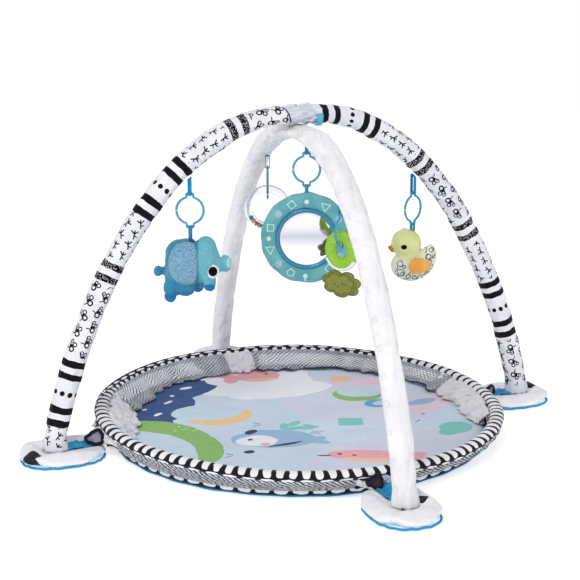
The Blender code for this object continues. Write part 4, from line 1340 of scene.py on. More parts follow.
def arch_line(crown, step=0.0045):
    """Even points (along, height) up one side and down the other, with u from the first pin."""
    fine = []
    for k in range(2001):
        turn = math.pi * (1 - k / 2000)
        along = math.copysign(abs(math.cos(turn)) ** (2 / ARCH_SPREAD), math.cos(turn)) * FOOT_REACH
        fine.append(Vector((along, PIN_Z + (crown - PIN_Z) * max(0.0, math.sin(turn)) ** (2 / ARCH_RISE))))
    hem = PIN_Z - HEM_BELOW_PIN
    fine = [Vector((-FOOT_REACH, hem))] + fine + [Vector((FOOT_REACH, hem))]
    lengths = [0.0]
    for a, b in zip(fine, fine[1:]):
        lengths.append(lengths[-1] + (b - a).length)
    count = round(lengths[-1] / step)
    points, i = [], 0
    for k in range(count + 1):
        want = lengths[-1] * k / count
        while i < len(fine) - 2 and lengths[i + 1] < want:
            i += 1
        share = (want - lengths[i]) / max(1e-9, lengths[i + 1] - lengths[i])
        points.append((fine[i].lerp(fine[i + 1], min(1, share)), want - HEM_BELOW_PIN))
    return points


def sleeve(name, crown, radius, across, along_axis, folds, puff, cad_node, material, body):
    """A padded sleeve over an arch: round, pressed flat at the crown, gathered at its hems."""
    line = arch_line(crown)
    sides = 44
    total = line[-1][1] + HEM_BELOW_PIN
    rings, us = [], []
    for i, (point, u) in enumerate(line):
        before, after = line[max(0, i - 1)][0], line[min(len(line) - 1, i + 1)][0]
        run = (after - before).normalized()
        normal = Vector((-run.y, run.x))
        blend = clamp((abs(point.x) - CROWN_FLAT) / (CROWN_BLEND - CROWN_FLAT)) ** 2
        half_up = CROWN_HALF_HEIGHT + (radius - CROWN_HALF_HEIGHT) * blend
        half_side = CROWN_HALF_WIDTH + (radius - CROWN_HALF_WIDTH) * blend
        clear = max(blend, eased(clamp((abs(point.x) - CROWN_CLEAR) / (CROWN_FULL - CROWN_CLEAR))))
        half_top = CROWN_HALF_HEIGHT + puff * (1 - clear) + (radius - CROWN_HALF_HEIGHT) * clear
        end = min(u + HEM_BELOW_PIN, total - u - HEM_BELOW_PIN)
        flare = 1 + 0.10 * bell(end, 0.016) - 0.05 * bell(end - 0.030, 0.010)
        ring = []
        for k in range(sides):
            angle = math.tau * k / sides
            c, s = math.cos(angle), math.sin(angle)
            more = folds(u, angle, point.x, end)
            up = ((half_top if c > 0 else half_up) * flare + more) * c
            side = (half_side * flare + more) * s
            place = Vector((point.x + normal.x * up, point.y + normal.y * up))
            height = max(place.y, PIN_Z - HEM_BELOW_PIN - 0.0004)
            ring.append(along_axis * place.x + across * side + Vector((0, 0, height)))
        rings.append(ring)
        us.append(u)
    for ring_index in (0, len(rings) - 1):
        middle = sum(rings[ring_index], Vector()) / sides
        inner = [middle.lerp(p, HEM_FOLD) + Vector((0, 0, 0.0006)) for p in rings[ring_index]]
        if ring_index == 0:
            rings.insert(0, inner)
            us.insert(0, us[0])
        else:
            rings.append(inner)
            us.append(us[-1])
    around = [radius * math.tau * k / sides for k in range(sides + 1)]
    obj = loft(name, rings, us, around)
    finish_piece(obj, body, material, (cad_node,))
    return obj


def pattern_folds(u, angle, along, end):
    """Wrinkles of the patterned sleeve: soft dents, gathers at the crown and at both hems."""
    more = wobble((u * 16, math.cos(angle) * 1.2, math.sin(angle) * 1.2), 1.0, 0.0015, 12)
    more += wobble((u * 46, math.cos(angle) * 2.0, math.sin(angle) * 2.0), 1.0, 0.0010, 3)
    crown = bell(along - 0.014, 0.026)
    more *= 1 - 0.6 * crown
    gather = math.sin(angle * 8 + along * 210) + 0.6 * math.sin(angle * 13 - along * 120 + 1)
    more += 0.0030 * crown * gather
    more += 0.0012 * bell(end, 0.022) * math.sin(angle * 10 + 2)
    cuff = u - CUFF_SLANT * PATTERN_RADIUS * (angle % math.tau - math.pi)
    if cuff < CUFF_EDGE:
        more += 0.0024 * bell(cuff - CUFF_EDGE, 0.030)
    for place in HANGING_PLACES:
        below = max(0.0, -math.cos(angle))
        more += 0.0016 * bell(along - place, 0.016) * below * math.sin((along - place) * 420)
    dent = max(0.0, math.sin(u * 58 + 1.3 * math.sin(angle + u * 9))) ** 6
    return more - 0.0015 * dent * (1 - crown)


def white_folds(u, angle, along, end):
    """Folds of the white sleeve: long and soft, with gathers under the crown."""
    more = wobble((u * 5.5, math.cos(angle) * 1.5, math.sin(angle) * 1.5), 1.0, 0.0024, 21)
    more += wobble((u * 22, math.cos(angle + u * 6) * 2.2, math.sin(angle + u * 6) * 2.2), 1.0, 0.0016, 5)
    near = bell(abs(along) - 0.095, 0.060) * (1.4 if along > 0 else 0.6)
    more += 0.0020 * near * math.sin(angle * 5 + u * 150 + 2 * math.sin(angle * 2))
    more += 0.0013 * near * math.sin(angle * 9 - u * 95)
    more *= 1 - 0.75 * bell(along, 0.040)
    more += 0.0010 * bell(end, 0.022) * math.sin(angle * 8)
    return more - 0.0022 * max(0.0, math.sin(u * 40 + 2.0 * math.sin(angle * 2))) ** 8


def crown_tie():
    """The light-blue webbing tab that ties the arches together, on the near side of the crown."""
    path = [Vector((0, -0.0205, 0.0070)), Vector((0, -0.0258, 0.0020)), Vector((0, -0.0268, -0.0050)),
            Vector((0, -0.0246, -0.0120)), Vector((0, -0.0190, -0.0165)), Vector((0, -0.0120, -0.0175))]
    tie = ribbon_along("crown_webbing", smooth_curve(path, 6), 0.0120, 0.0013)
    tie.matrix_world = Matrix.Translation((0.0310, 0, PATTERN_CROWN - 0.0008)) @ Matrix.Rotation(0.10, 4, "Y")
    finish_piece(tie, "patterned_arch", plain_cloth("tie_webbing", tone(96, 190, 222), 1400.0))


def arches():
    """The two sleeves: the patterned one on no body, baked in place, and the white one on the base."""
    sleeve("sleeve_patterned", PATTERN_CROWN, PATTERN_RADIUS, Vector((0, -1, 0)), Vector((1, 0, 0)),
           pattern_folds, CROWN_PUFF,
           "patterned_sleeve", print_cloth(), None)
    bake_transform(bpy.data.objects["sleeve_patterned"])
    sleeve("sleeve_white", WHITE_CROWN, WHITE_RADIUS, Vector((-1, 0, 0)), Vector((0, 1, 0)), white_folds, 0.0,
           "white_sleeve", white_cloth(), "base")


foot_pads()
straps()
arches()
crown_tie()


# ---- toys --------------------------------------------------------------------------------------
def placed_toy(obj, toy, material, nodes=(), turn=TOY_TURN):
    """Puts a piece made in the toy's own axes on the toy's body."""
    obj.matrix_world = toy_frame(toy, turn)
    return finish_piece(obj, f"{toy}_toy", material, nodes)


def front_panel(name, shape, centre, size, thickness, depth_at, rings=14, segments=56):
    """A padded panel sewn on a toy's side: shape(turn) is its outline, depth_at(x, z) its base's y."""
    def point(reach, turn, side):
        x, z = shape(turn)
        px, pz = centre[0] + x * size[0] * reach, centre[1] + z * size[1] * reach
        puff = thickness * (max(0.0, 1 - reach ** 4)) ** 0.5
        base = depth_at(px, pz)
        away = math.copysign(1.0, base)
        return Vector((px, base + away * (puff if side else -0.0045), pz))
    loops = [[point(0.97, math.tau * j / segments, 0) for j in range(segments)]]
    for k in range(rings, 0, -1):
        loops.append([point(k / rings, math.tau * j / segments, 1) for j in range(segments)])
    return loft(name, loops, evenly(0.002, len(loops)), evenly(0.002, segments), caps=True)


def dome(name, centre, radii, side, height, segments=40, rings=10):
    """A smooth button: an oval dome standing out from a toy's side by height."""
    loops = []
    for k in range(rings + 1):
        reach = math.cos(math.pi / 2 * k / rings)
        out = math.sin(math.pi / 2 * k / rings) * height
        share = max(reach, 0.02)
        loops.append([Vector((centre[0] + radii[0] * share * math.cos(math.tau * j / segments),
                              centre[1] + side * out,
                              centre[2] + radii[1] * share * math.sin(math.tau * j / segments)))
                      for j in range(segments)])
    return loft(name, loops, evenly(0.001, len(loops)), evenly(0.001, segments), caps=True)


def glossy(name, colour, roughness=0.18, coat=0.4, specular=None):
    """Moulded plastic with faint flow marks.  The specular level follows the coat unless it is given."""
    paint = Paint(name, roughness=roughness)
    at = paint.here()
    if specular is None:
        specular = 0.19 + 0.8 * coat
    paint.shader.inputs["Coat Weight"].default_value = coat
    paint.shader.inputs["Specular IOR Level"].default_value = specular
    paint.relief((paint.noise(at, 180.0, 2.0), 0.00008))
    return paint.colour(paint.worn(colour, at, 60.0, 0.93))


def velour_relief(paint, at, seams=()):
    """Short pile: fine fibres over slight crush marks, with grooves at the seams."""
    fibres = paint.noise(at, 1500.0, 2.0)
    crushed = paint.noise(at, 95.0, 3.0)
    layers = [(seam, -0.0010) for seam in seams] + [(crushed, 0.0014), (fibres, 0.00045)]
    paint.relief(*layers)


def elephant_cloth():
    """Blue velour: light at the head, deeper at the back, deepest at the feet, with painted shade darkening
    the lower body towards the belly.
    """
    paint = Paint("elephant_velour", roughness=0.9, sheen=0.45)
    paint.shader.inputs["Sheen Tint"].default_value = tone(190, 235, 245)
    at = paint.here()
    x, y, z = paint.split(at)
    wavy = paint.math("ADD", x, paint.noise(at, 60.0, 2.0, -0.0015, 0.0015))
    head = paint.above(wavy, 0.0135)
    back = paint.mix(paint.noise(at, 40.0, 3.0), tone(48, 134, 166), tone(72, 158, 184))
    colour = paint.mix(head, back,
                       paint.mix(paint.noise(at, 35.0, 3.0), tone(98, 178, 202), tone(128, 200, 214)))
    # painted shade: the lower body is darkened towards the belly
    shadow = paint.ramp(z, -0.112, -0.086, 1.0, 0.0)
    colour = paint.mix(paint.math("MULTIPLY", shadow, 0.6), colour, tone(36, 128, 172))
    flat = paint.join(x, z)
    feet = paint.either(paint.oval(flat, (-0.040, -0.1300), (0.016, 0.0125)),
                        paint.oval(flat, (-0.012, -0.1240), (0.020, 0.0090)),
                        paint.oval(flat, (0.012, -0.1200), (0.011, 0.0090)),
                        paint.oval(flat, (0.034, -0.1110), (0.014, 0.0110)))
    colour = paint.mix(feet, colour, tone(8, 118, 178))
    mint = paint.oval(flat, (0.0700, -0.0640), (0.0056, 0.0095))
    colour = paint.mix(mint, colour, tone(178, 226, 222))
    seam = line_mask(paint, wavy, 0.0135, 0.0009)
    middle = line_mask(paint, y, 0.0, 0.0007)
    cuff = paint.both(line_mask(paint, z, -0.117, 0.0008), paint.below(x, -0.02))
    neck = line_mask(paint, paint.math("MULTIPLY_ADD", z, 0.25, x), 0.0405, 0.0007)
    velour_relief(paint, at, (seam, middle, cuff, neck))
    return paint.colour(paint.worn(colour, at, 50.0, 0.88))


def ear_cloth():
    """Heathered grey-blue boucle."""
    paint = Paint("ear_boucle", roughness=0.95, sheen=0.3)
    at = paint.here()
    loops = paint.cells(at, 520.0)
    knots = paint.noise(at, 330.0, 3.0)
    colour = paint.mix(knots, tone(84, 136, 172), tone(152, 192, 214))
    colour = paint.mix(paint.below(loops, 0.22), colour, tone(74, 122, 158))
    paint.relief((loops, -0.0009), (knots, 0.0007))
    return paint.colour(colour)


def ear_outline(turn):
    """A rounded D: round at the back, straighter at the front."""
    c, s = math.cos(turn), math.sin(turn)
    if c > 0:
        return (0.80 * abs(c) ** 0.45, math.copysign(abs(s) ** 0.80, s))
    return (c, s)


def hug(radii, centre, gap, least):
    """Depth of a panel that hugs an ellipsoid's side."""
    def depth(side):
        def at(x, z):
            left = 1 - ((x - centre[0]) / radii[0]) ** 2 - ((z - centre[2]) / radii[2]) ** 2
            return side * max(least, radii[1] * math.sqrt(max(0.0, left)) + gap)
        return at
    return depth


def stuffed(name, balls, voxel, relax, pressure, cap):
    """A plush body: ellipsoids under one skin, swelled by its stuffing."""
    obj = from_balls(name, balls)
    remesh(obj, voxel, relax)
    inflate(obj, pressure, cap)
    return obj


def groove(obj, lines):
    """Pulls the skin in along seams: each line is (function of the point that is 0 on it, width, depth)."""
    def offset(p):
        return -sum(depth * bell(reach(p), width) for reach, width, depth in lines)
    push(obj, offset)


def elephant():
    """The plush elephant, its ear panels and its button eyes."""
    body = stuffed("elephant_plush", (
        ((-0.009, 0, -0.066), (0.040, 0.028, 0.043)), ((0.024, 0, -0.057), (0.029, 0.025, 0.040)),
        ((0.026, 0, -0.038), (0.022, 0.020, 0.023)), ((-0.020, 0, -0.050), (0.027, 0.024, 0.029)),
        ((0.045, 0, -0.069), (0.017, 0.015, 0.016)), ((0.063, 0, -0.066), (0.012, 0.012, 0.0165)),
        ((-0.053, 0, -0.079), (0.014, 0.006, 0.0075)), ((-0.061, 0, -0.080), (0.009, 0.009, 0.011)),
        ((-0.030, 0, -0.090), (0.020, 0.020, 0.020)), ((0.026, 0, -0.078), (0.024, 0.022, 0.024)),
        ((-0.0385, -0.012, -0.108), (0.0125, 0.012, 0.018)),
        ((-0.0385, -0.012, -0.1245), (0.0115, 0.0115, 0.0120)),
        ((-0.037, 0.012, -0.105), (0.0115, 0.011, 0.0170)),
        ((-0.037, 0.012, -0.1180), (0.0110, 0.0110, 0.0105)),
        ((-0.012, -0.006, -0.108), (0.0200, 0.0150, 0.0150)),
        ((-0.012, -0.006, -0.1160), (0.0190, 0.0145, 0.0100)),
        ((0.011, 0.010, -0.108), (0.0115, 0.011, 0.0160)),
        ((0.011, 0.010, -0.1140), (0.0110, 0.0110, 0.0095)),
        ((0.034, -0.011, -0.096), (0.0120, 0.012, 0.0140)),
        ((0.034, -0.011, -0.1050), (0.0115, 0.0115, 0.0105)),
        ((0.032, 0.012, -0.096), (0.0105, 0.010, 0.0140))),
        0.0026, 4, 4.0, 0.0020)
    groove(body, ((lambda p: p.x - 0.0135 if p.z > -0.105 else 1.0, 0.0022, 0.0012),
                  (lambda p: p.y, 0.0016, 0.0008),
                  (lambda p: p.z + 0.117 if p.x < -0.02 else 1.0, 0.0016, 0.0012),
                  (lambda p: p.x + 0.25 * p.z - 0.0405 if p.x > 0.04 else 1.0, 0.0016, 0.0010),
                  (lambda p: p.x + 0.049 if p.z > -0.095 else 1.0, 0.0022, 0.0012)))
    push(body, lambda p: wobble(p, 70.0, 0.0012, 4))
    placed_toy(body, "elephant", elephant_cloth(), ("elephant_body",))
    material = ear_cloth()
    white = plain_cloth("eye_felt", tone(240, 240, 246), 1500.0)
    black = glossy("eye_button", tone(2, 2, 3), 0.10, 0.0, EYE_SHINE)
    depth = hug((0.046, 0.0305, 0.047), (-0.009, 0, -0.066), 0.0004, 0.0165)
    for side, label in ((-1, "near"), (1, "far")):
        ear = front_panel(f"elephant_ear_panel_{label}", ear_outline, (-0.0100, -0.0620), (0.0290, 0.0390),
                          0.0026, depth(side))
        placed_toy(ear, "elephant", material, (f"elephant_ear_{label}",))
        patch = dome(f"elephant_eye_{label}", (0.0385, side * 0.0190, -0.0770), (0.0138, 0.0134), side,
                     0.0046)
        placed_toy(patch, "elephant", white)
        button = dome(f"elephant_pupil_{label}", (0.0405, side * 0.0212, -0.0762), (0.0084, 0.0090), side,
                      0.0060)
        placed_toy(button, "elephant", black)


def duck_cloth():
    """Yellow-green velour, pale at the body, with grey-green drawn swirls and feather marks."""
    paint = Paint("duck_velour", roughness=0.9, sheen=0.45)
    paint.shader.inputs["Sheen Tint"].default_value = tone(250, 250, 215)
    at = paint.here()
    x, y, z = paint.split(at)
    flat = paint.join(x, z)
    head = paint.oval(flat, (-0.0115, -0.0345), (0.0335, 0.0308))
    body = paint.mix(paint.noise(at, 45.0, 3.0), tone(232, 234, 206), tone(246, 247, 234))
    colour = paint.mix(head, body,
                       paint.mix(paint.noise(at, 45.0, 3.0), tone(226, 231, 146), tone(242, 243, 186)))
    drawn = paint.vector("ADD", flat, paint.drift(at, (110.0, 125.0), 1.0, 0.0014))
    marks = [paint.ring(drawn, centre, radius, 0.00085) for centre, radius in (
        ((-0.024, -0.072), 0.0050), ((-0.022, -0.090), 0.0066), ((-0.020, -0.092), 0.0032),
        ((-0.008, -0.098), 0.0045),
        ((0.004, -0.100), 0.0038), ((0.030, -0.060), 0.0042), ((0.033, -0.070), 0.0034),
        ((0.016, -0.066), 0.0036),
        ((0.022, -0.098), 0.0040), ((0.036, -0.048), 0.0040), ((0.040, -0.060), 0.0030),
        ((0.036, -0.080), 0.0044),
        ((-0.030, -0.098), 0.0036), ((0.008, -0.108), 0.0040), ((-0.016, -0.078), 0.0030),
        ((0.030, -0.092), 0.0030))]
    for centre, turn in (((-0.030, -0.084), 1.2), ((-0.006, -0.090), 0.9), ((0.002, -0.090), 1.1),
                         ((0.012, -0.098), 0.8),
                         ((0.026, -0.088), 1.3), ((0.036, -0.064), 0.4), ((0.026, -0.048), 1.5),
                         ((-0.014, -0.104), 0.2)):
        marks.append(paint.bar(drawn, centre, (0.0050, 0), turn, 0.00085))
    inked = paint.without(paint.either(*marks), head)
    colour = paint.mix(inked, colour, tone(58, 72, 70))
    seam = paint.math("ABSOLUTE", y)
    velour_relief(paint, at, (paint.below(seam, 0.0007),))
    return paint.colour(paint.worn(colour, at, 50.0, 0.92))


def teardrop(turn):
    """A wing: round at the left and drawn to a point at the right."""
    c, s = math.cos(turn), math.sin(turn)
    narrow = (1 - c) / 2
    return (c, s * narrow ** 0.45 * (1.05 if s > 0 else 1.0))


def duck():
    """The plush duckling, its felt bill and wings and its button eyes."""
    body = stuffed("duck_plush", (
        ((-0.002, 0, -0.079), (0.039, 0.025, 0.032)), ((-0.0115, 0, -0.0365), (0.0300, 0.0245, 0.0282)),
        ((0.031, 0, -0.066), (0.016, 0.015, 0.024)), ((0.037, 0, -0.056), (0.0115, 0.011, 0.018)),
        ((0.024, 0, -0.076), (0.018, 0.020, 0.022)), ((-0.016, 0, -0.012), (0.008, 0.006, 0.007))),
        0.0030, 5, 4.0, 0.0020)
    groove(body, ((lambda p: p.y, 0.0016, 0.0007),
                  (lambda p: math.hypot((p.x + 0.0115) / 0.0335, (p.z + 0.0345) / 0.0308) - 1
                                                   if p.z < -0.045 else 1.0, 0.06, 0.0012)))
    push(body, lambda p: wobble(p, 70.0, 0.0010, 9))
    placed_toy(body, "duck", duck_cloth(), ("duck_body",))
    bill = from_balls("duck_bill",
                      (((-0.0365, 0, -0.0450), (0.0100, 0.0090, 0.0048)),
                       ((-0.0345, 0, -0.0500), (0.0085, 0.0078, 0.0042))))
    remesh(bill, 0.0011, 3)
    placed_toy(bill, "duck", plain_cloth("bill_felt", tone(226, 122, 48), 1400.0, 0.2))
    wing_paint = Paint("wing_felt", roughness=0.88, sheen=0.3)
    at = wing_paint.here()
    wing_paint.relief((wing_paint.noise(at, 120.0, 3.0), 0.0008), (wing_paint.noise(at, 1200.0, 2.0), 0.0003))
    wing_felt = wing_paint.colour(wing_paint.mix(wing_paint.noise(at, 70.0, 3.0), tone(232, 150, 62),
                                                 tone(246, 180, 92)))
    depth = hug((0.042, 0.0282, 0.035), (-0.002, 0, -0.079), 0.0006, 0.0150)
    black = glossy("duck_eye_button", tone(2, 2, 3), 0.10, 0.0, EYE_SHINE)
    for side, label in ((-1, "near"), (1, "far")):
        wing = front_panel(f"duck_wing_panel_{label}", teardrop, (0.0155, -0.0760), (0.0235, 0.0185),
                           0.0030, depth(side))
        placed_toy(wing, "duck", wing_felt, (f"duck_wing_{label}",))
        eye = dome(f"duck_eye_{label}", (-0.0165, side * 0.0205, -0.0395), (0.0068, 0.0056), side, 0.0056)
        placed_toy(eye, "duck", black)


MIRROR_DROP = 0.0955
MIRROR_RING = 0.0690


def mirror_cloth():
    """Teal velour printed with pale outlines and dots round the ring."""
    paint = Paint("mirror_ring_velour", roughness=0.88, sheen=0.35)
    at = paint.here()
    x, y, z = paint.split(at)
    flat = paint.join(x, paint.math("ADD", z, MIRROR_DROP))
    base = paint.mix(paint.noise(at, 30.0, 3.0), tone(88, 168, 178), tone(122, 196, 196))

    def clock(degrees, reach=MIRROR_RING):
        angle = math.radians(90 - degrees)
        return (reach * math.cos(angle), reach * math.sin(angle)), angle
    pale, filled = [], []
    for degrees, sides, size in ((30, 3, 0.0046), (143, 4, 0.0058), (205, 5, 0.0058), (254, 3, 0.0046),
                                 (288, 4, 0.0058), (337, 4, 0.0058)):
        centre, angle = clock(degrees)
        edge = paint.polygon(flat, centre, size, sides, angle + 0.3)
        pale.append(paint.outline(edge, 0.0008))
    for degrees, radius in ((58, 0.0066), (228, 0.0066), (312, 0.0066), (118, 0.0062)):
        filled.append(paint.oval(flat, clock(degrees)[0], (radius, radius)))
    for degrees in (0, 182, 271, 90):
        pale.append(paint.oval(flat, clock(degrees)[0], (0.0042, 0.0042)))
    pale.append(paint.bar(flat, clock(182, 0.0755)[0], (0.0012, 0.0030), 0.0, 0.0004))
    near = paint.below(y, -0.0015)
    colour = paint.mix(paint.both(near, paint.math("MULTIPLY", paint.either(*filled), 0.62)), base,
                       tone(200, 206, 232))
    colour = paint.mix(paint.both(near, paint.either(*pale)), colour, tone(214, 240, 242))
    velour_relief(paint, at, (paint.below(paint.math("ABSOLUTE", y), 0.0006),))
    return paint.colour(paint.worn(colour, at, 45.0, 0.90))


def upright_ring(name, major, half_width, half_depth, drop, segments, sides, shape):
    """A ring standing in the toy's XZ plane; shape(turn, angle) scales its section."""
    rings, along = [], [major * math.tau * k / segments for k in range(segments + 1)]
    for k in range(segments):
        turn = math.tau * k / segments
        ring = []
        for j in range(sides):
            angle = math.tau * j / sides
            swell = shape(turn, angle)
            reach = major + half_width * math.cos(angle) * swell
            ring.append(Vector((reach * math.sin(turn), half_depth * math.sin(angle) * swell,
                                reach * math.cos(turn) - drop)))
        rings.append(ring)
    around = [(half_width + half_depth) / 2 * math.tau * j / sides for j in range(sides + 1)]
    return loft(name, rings, along, around, closed=True)


def even_section(turn, angle):
    """A section of one size all round."""
    return 1.0


def mirror_silver_and_painted_reflection():
    """Silvered plastic sheet, which is never quite flat, with a painted reflection: a soft grey band across
    it.
    """
    paint = Paint("mirror_sheet", roughness=0.05, metallic=1.0)
    at = paint.here()
    paint.relief((paint.noise(at, 22.0, 1.0), 0.00030))
    # painted reflection: a soft grey band across the middle of the mirror, in its base colour
    height = paint.math("ADD", paint.split(at)[2], MIRROR_DROP - 0.004)
    band = paint.math("SUBTRACT", 1.0, paint.math("DIVIDE", paint.math("ABSOLUTE", height), 0.034))
    band = paint.math("MULTIPLY", paint.math("MAXIMUM", band, 0.0), 0.85)
    return paint.colour(paint.mix(band, tone(238, 238, 241), tone(166, 166, 176)))


def mirror():
    """The plush ring, its mirror in a thin bezel, and the plain back of the mirror's case."""
    def puckered(turn, angle):
        outer = max(0.0, math.cos(angle))
        inner = max(0.0, -math.cos(angle))
        swell = 1 + 0.045 * math.sin(turn * 13 + math.sin(turn * 3)) * outer
        swell += 0.030 * math.sin(turn * 34) * inner
        seam = 0.06 * bell(math.sin(angle), 0.10) * outer
        top = 0.10 * bell(turn if turn < math.pi else turn - math.tau, 0.10) * outer
        return swell - seam + top + wobble((math.sin(turn) * 3, math.cos(turn) * 3, angle), 1.6, 0.05, 7)
    ring = upright_ring("mirror_plush_ring", MIRROR_RING, 0.0150, 0.0125, MIRROR_DROP, 168, 28, puckered)
    placed_toy(ring, "mirror", mirror_cloth(), ("mirror_ring",))
    shell = glossy("shell_plastic", tone(24, 118, 160), 0.28)
    case = upright_ring("mirror_case", 0.0500, 0.0034, 0.0080, MIRROR_DROP, 128, 16, even_section)
    placed_toy(case, "mirror", shell, ("mirror_shell",))
    back = dome("mirror_back", (0, 0.0040, -MIRROR_DROP), (0.0496, 0.0496), 1, 0.0042, 96, 14)
    placed_toy(back, "mirror", shell)
    bezel = upright_ring("mirror_bezel", 0.0531, 0.0031, 0.0034, MIRROR_DROP, 128, 16, even_section)
    bezel.data.transform(Matrix.Translation((0, -0.0070, 0)))
    placed_toy(bezel, "mirror", glossy("bezel_plastic", tone(28, 130, 170), 0.22))
    sheet = dome("mirror_disc", (0, -0.0068, -MIRROR_DROP), (0.0502, 0.0502), -1, 0.0012, 96, 14)
    placed_toy(sheet, "mirror", mirror_silver_and_painted_reflection(), ("mirror_glass",))


RATTLE_DROP = 0.0190
RATTLE_RING = 0.0370
BEADS = ((205, tone(96, 178, 92)), (216, tone(226, 70, 62)), (228, tone(244, 200, 60)),
         (240, tone(60, 150, 206)),
         (170, tone(236, 236, 240)), (182, tone(96, 178, 92)), (193, tone(244, 140, 60)))


def dome_bead(name, radius):
    """A small roller with a groove round its middle and dished ends."""
    loops, sides = [], 20
    for out, up in ((0.25, -0.72), (0.55, -0.86), (0.82, -0.80), (0.98, -0.45), (1.0, -0.16), (0.86, 0.0),
                    (1.0, 0.16),
                    (0.98, 0.45), (0.82, 0.80), (0.55, 0.86), (0.25, 0.72)):
        loops.append([polar(radius * out, math.tau * j / sides, radius * up) for j in range(sides)])
    return loft(name, loops, evenly(0.001, len(loops)), evenly(0.001, sides), caps=True)


def rattle():
    """A clear hollow ring with coloured beads loose in its lower part."""
    outer = upright_ring("rattle_shell", RATTLE_RING, 0.0080, 0.0080, RATTLE_DROP, 128, 28, even_section)
    inner = upright_ring("rattle_bore", RATTLE_RING, 0.0066, 0.0066, RATTLE_DROP, 128, 28, even_section)
    inner.data.flip_normals()
    joined = bmesh.new()
    joined.from_mesh(outer.data)
    joined.from_mesh(inner.data)
    joined.to_mesh(outer.data)
    joined.free()
    bpy.data.objects.remove(inner)
    clear = Paint("clear_shell", roughness=0.03)
    clear.shader.inputs["Transmission Weight"].default_value = 1.0
    clear.shader.inputs["IOR"].default_value = 1.38
    at = clear.here()
    clear.relief((clear.noise(at, 60.0, 1.0), 0.0001))
    tint = clear.mix(clear.noise(at, 25.0), tone(244, 245, 252), tone(250, 250, 254))
    placed_toy(outer, "rattle", clear.colour(tint), ("rattle_ring",))
    for index, (degrees, colour) in enumerate(BEADS):
        turn = math.radians(degrees)
        bead = dome_bead(f"rattle_bead_{index}", 0.0044)
        place = (RATTLE_RING * math.sin(turn), 0, RATTLE_RING * math.cos(turn) - RATTLE_DROP - 0.0012)
        bead.data.transform(Matrix.Translation(place) @ Matrix.Rotation(turn + index, 4, "Y"))
        placed_toy(bead, "rattle", glossy(f"bead_plastic_{index}", colour, 0.3))


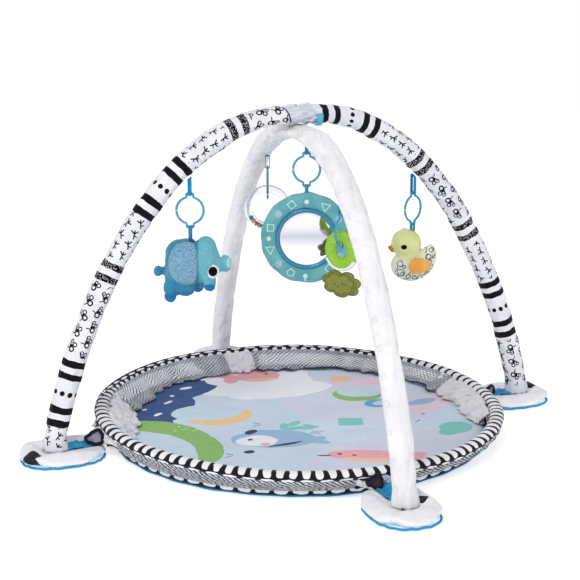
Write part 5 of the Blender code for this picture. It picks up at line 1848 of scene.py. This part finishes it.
def teether():
    """A textured green ring with a white collar, and an olive leaf-shaped teether under it."""
    paint = Paint("teether_silicone", roughness=0.55)
    at = paint.here()
    veins = paint.cells(at, 330.0, "F1")
    grain = paint.noise(at, 420.0, 3.0)
    paint.relief((veins, -0.0010), (grain, 0.0005))
    green = paint.colour(paint.mix(paint.math("MULTIPLY", grain, 0.8), tone(120, 178, 34),
                                   tone(170, 214, 66)))

    def soft(turn, angle):
        return 1 + wobble((math.sin(turn) * 2, math.cos(turn) * 2, angle), 2.0, 0.03, 3)
    ring = upright_ring("teether_loop", 0.0235, 0.0110, 0.0070, 0.0030, 112, 24, soft)
    placed_toy(ring, "teether", green, ("teether_ring",), TEETHER_TURN)

    collar_rows = []
    for k in range(41):
        turn = math.radians(180 + 62 * (k / 20 - 1))
        row = []
        for j in range(20):
            angle = math.tau * j / 20
            reach = 0.0330 + 0.0034 * math.cos(angle)
            row.append(Vector((reach * math.sin(turn), 0.0064 * math.sin(angle),
                               reach * math.cos(turn) - 0.0030)))
        collar_rows.append(row)
    collar = loft("teether_collar", collar_rows, evenly(0.0019, 41), evenly(0.001, 20), caps=True)
    placed_toy(collar, "teether", glossy("collar_silicone", tone(236, 238, 240), 0.45), (),
               TEETHER_TURN)

    low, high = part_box("teether_leaf")
    drop = JOINTS["teether_swing"]["pos_m"][2] - (low.z + high.z) / 2
    half_height = (high.z - low.z) / 2

    def lobes(turn):
        """A scalloped fan: six lobes round the sides and the bottom, drawn in at the top."""
        scallop = 0.78 + 0.24 * abs(math.cos(3.5 * (turn + math.pi / 2))) ** 0.55
        neck = 0.16 * bell((turn - math.pi / 2 + math.pi) % math.tau - math.pi, 0.45)
        return scallop - neck
    loops = []
    for side in (-1, 1):
        order = range(22, 0, -1) if side < 0 else range(1, 23)
        for k in order:
            reach = k / 22
            rim = 0.0010 * bell(reach - 0.86, 0.035) - 0.0012 * bell(reach - 0.76, 0.030)
            thick = 0.0056 * (1 - reach ** 8) ** 0.5 + rim
            loops.append([Vector((0.0425 * lobes(t) * reach * math.cos(t), side * thick,
                                  half_height * 1.22 * lobes(t) * reach * math.sin(t) - drop + 0.0035))
                                  for t in
                          (math.tau * j / 120 for j in range(120))])
    front, back = loops[22:], loops[:22]
    leaf = loft("teether_leaf_silicone", front + back[1:], evenly(0.001, 43), evenly(0.001, 120), caps=True)
    olive = Paint("leaf_silicone", roughness=0.5)
    at = olive.here()
    x, _, z = olive.split(at)
    flat = olive.join(x, olive.math("ADD", z, drop))
    pips = olive.either(*[olive.oval(flat, centre, (0.0016, 0.0022), 0.3)
                          for centre in ((-0.010, 0.002), (-0.003, -0.002), (0.007, 0.004), (0.013, 0.003))])
    olive.relief((pips, -0.0008), (olive.noise(at, 300.0, 3.0), 0.0005))
    from_edge = olive.math("ABSOLUTE", olive.math("SUBTRACT", olive.split(olive.cloth())[0], 0.0215))
    drawn = olive.either(pips, line_mask(olive, from_edge, 0.0030, 0.0006),
                         line_mask(olive, from_edge, 0.0058, 0.0005))
    leaf_cloth = olive.colour(olive.worn(olive.mix(drawn, tone(126, 132, 38), tone(78, 84, 18)), at, 60.0,
                                         0.85))
    placed_toy(leaf, "teether", leaf_cloth, ("teether_leaf",), TEETHER_TURN)


def ribbon_cloth():
    """Blue satin ribbon, ribbed across its width."""
    paint = Paint("ribbon_satin", roughness=0.55, sheen=0.2)
    uv = paint.cloth()
    at = paint.here()
    u = paint.split(uv)[0]
    paint.relief((paint.math("SINE", paint.math("MULTIPLY", u, 5200.0)), 0.00015))
    return paint.colour(paint.worn(tone(18, 138, 190), at, 120.0, 0.88))


def ribbons():
    """Each plush toy's ribbon: over the link's lower rod and down into the seam at its top."""
    material = ribbon_cloth()
    for toy, depth in (("elephant", 0.0260), ("duck", 0.0150), ("mirror", 0.0155)):
        turn = math.atan2(JOINTS[f"{toy}_swing"]["axis"][1], JOINTS[f"{toy}_swing"]["axis"][0])
        path = []
        for k in range(25):
            angle = math.pi * k / 24
            path.append(Vector((0, 0.0036 * math.cos(angle), 0.0036 * math.sin(angle))))
        path = [Vector((0, 0.0030, -depth)), Vector((0, 0.0034, -depth / 2))] + path
        path += [Vector((0, -0.0034, -depth / 2)), Vector((0, -0.0030, -depth))]
        ribbon = ribbon_along(f"{toy}_ribbon", path, 0.0068, 0.0010)
        placed_toy(ribbon, toy, material, (), turn)
    for toy in ("elephant", "duck", "mirror", "rattle", "teether"):
        loop = frame["nodes"][f"{toy}_web_loop"]
        loop.data.materials.clear()
        loop.data.materials.append(plain_cloth(f"{toy}_webbing", tone(24, 140, 190), 1400.0))


def hard_parts():
    """Better materials for the CAD parts that show as they are."""
    link = glossy("link_plastic", tone(44, 148, 182), 0.25)
    tube = glossy("tube_plastic_look", tone(214, 215, 220), 0.35)
    dark = glossy("fitting_plastic", tone(70, 74, 84), 0.4)
    for name, node in frame["nodes"].items():
        chosen = None
        if name.endswith("_link"):
            chosen = link
        elif "_tube_" in name:
            chosen = tube
        elif "_plug_" in name or "socket" in name or "ferrule" in name:
            chosen = dark
        if chosen:
            node.data.materials.clear()
            node.data.materials.append(chosen)


elephant()
duck()
mirror()
rattle()
teether()
ribbons()
hard_parts()
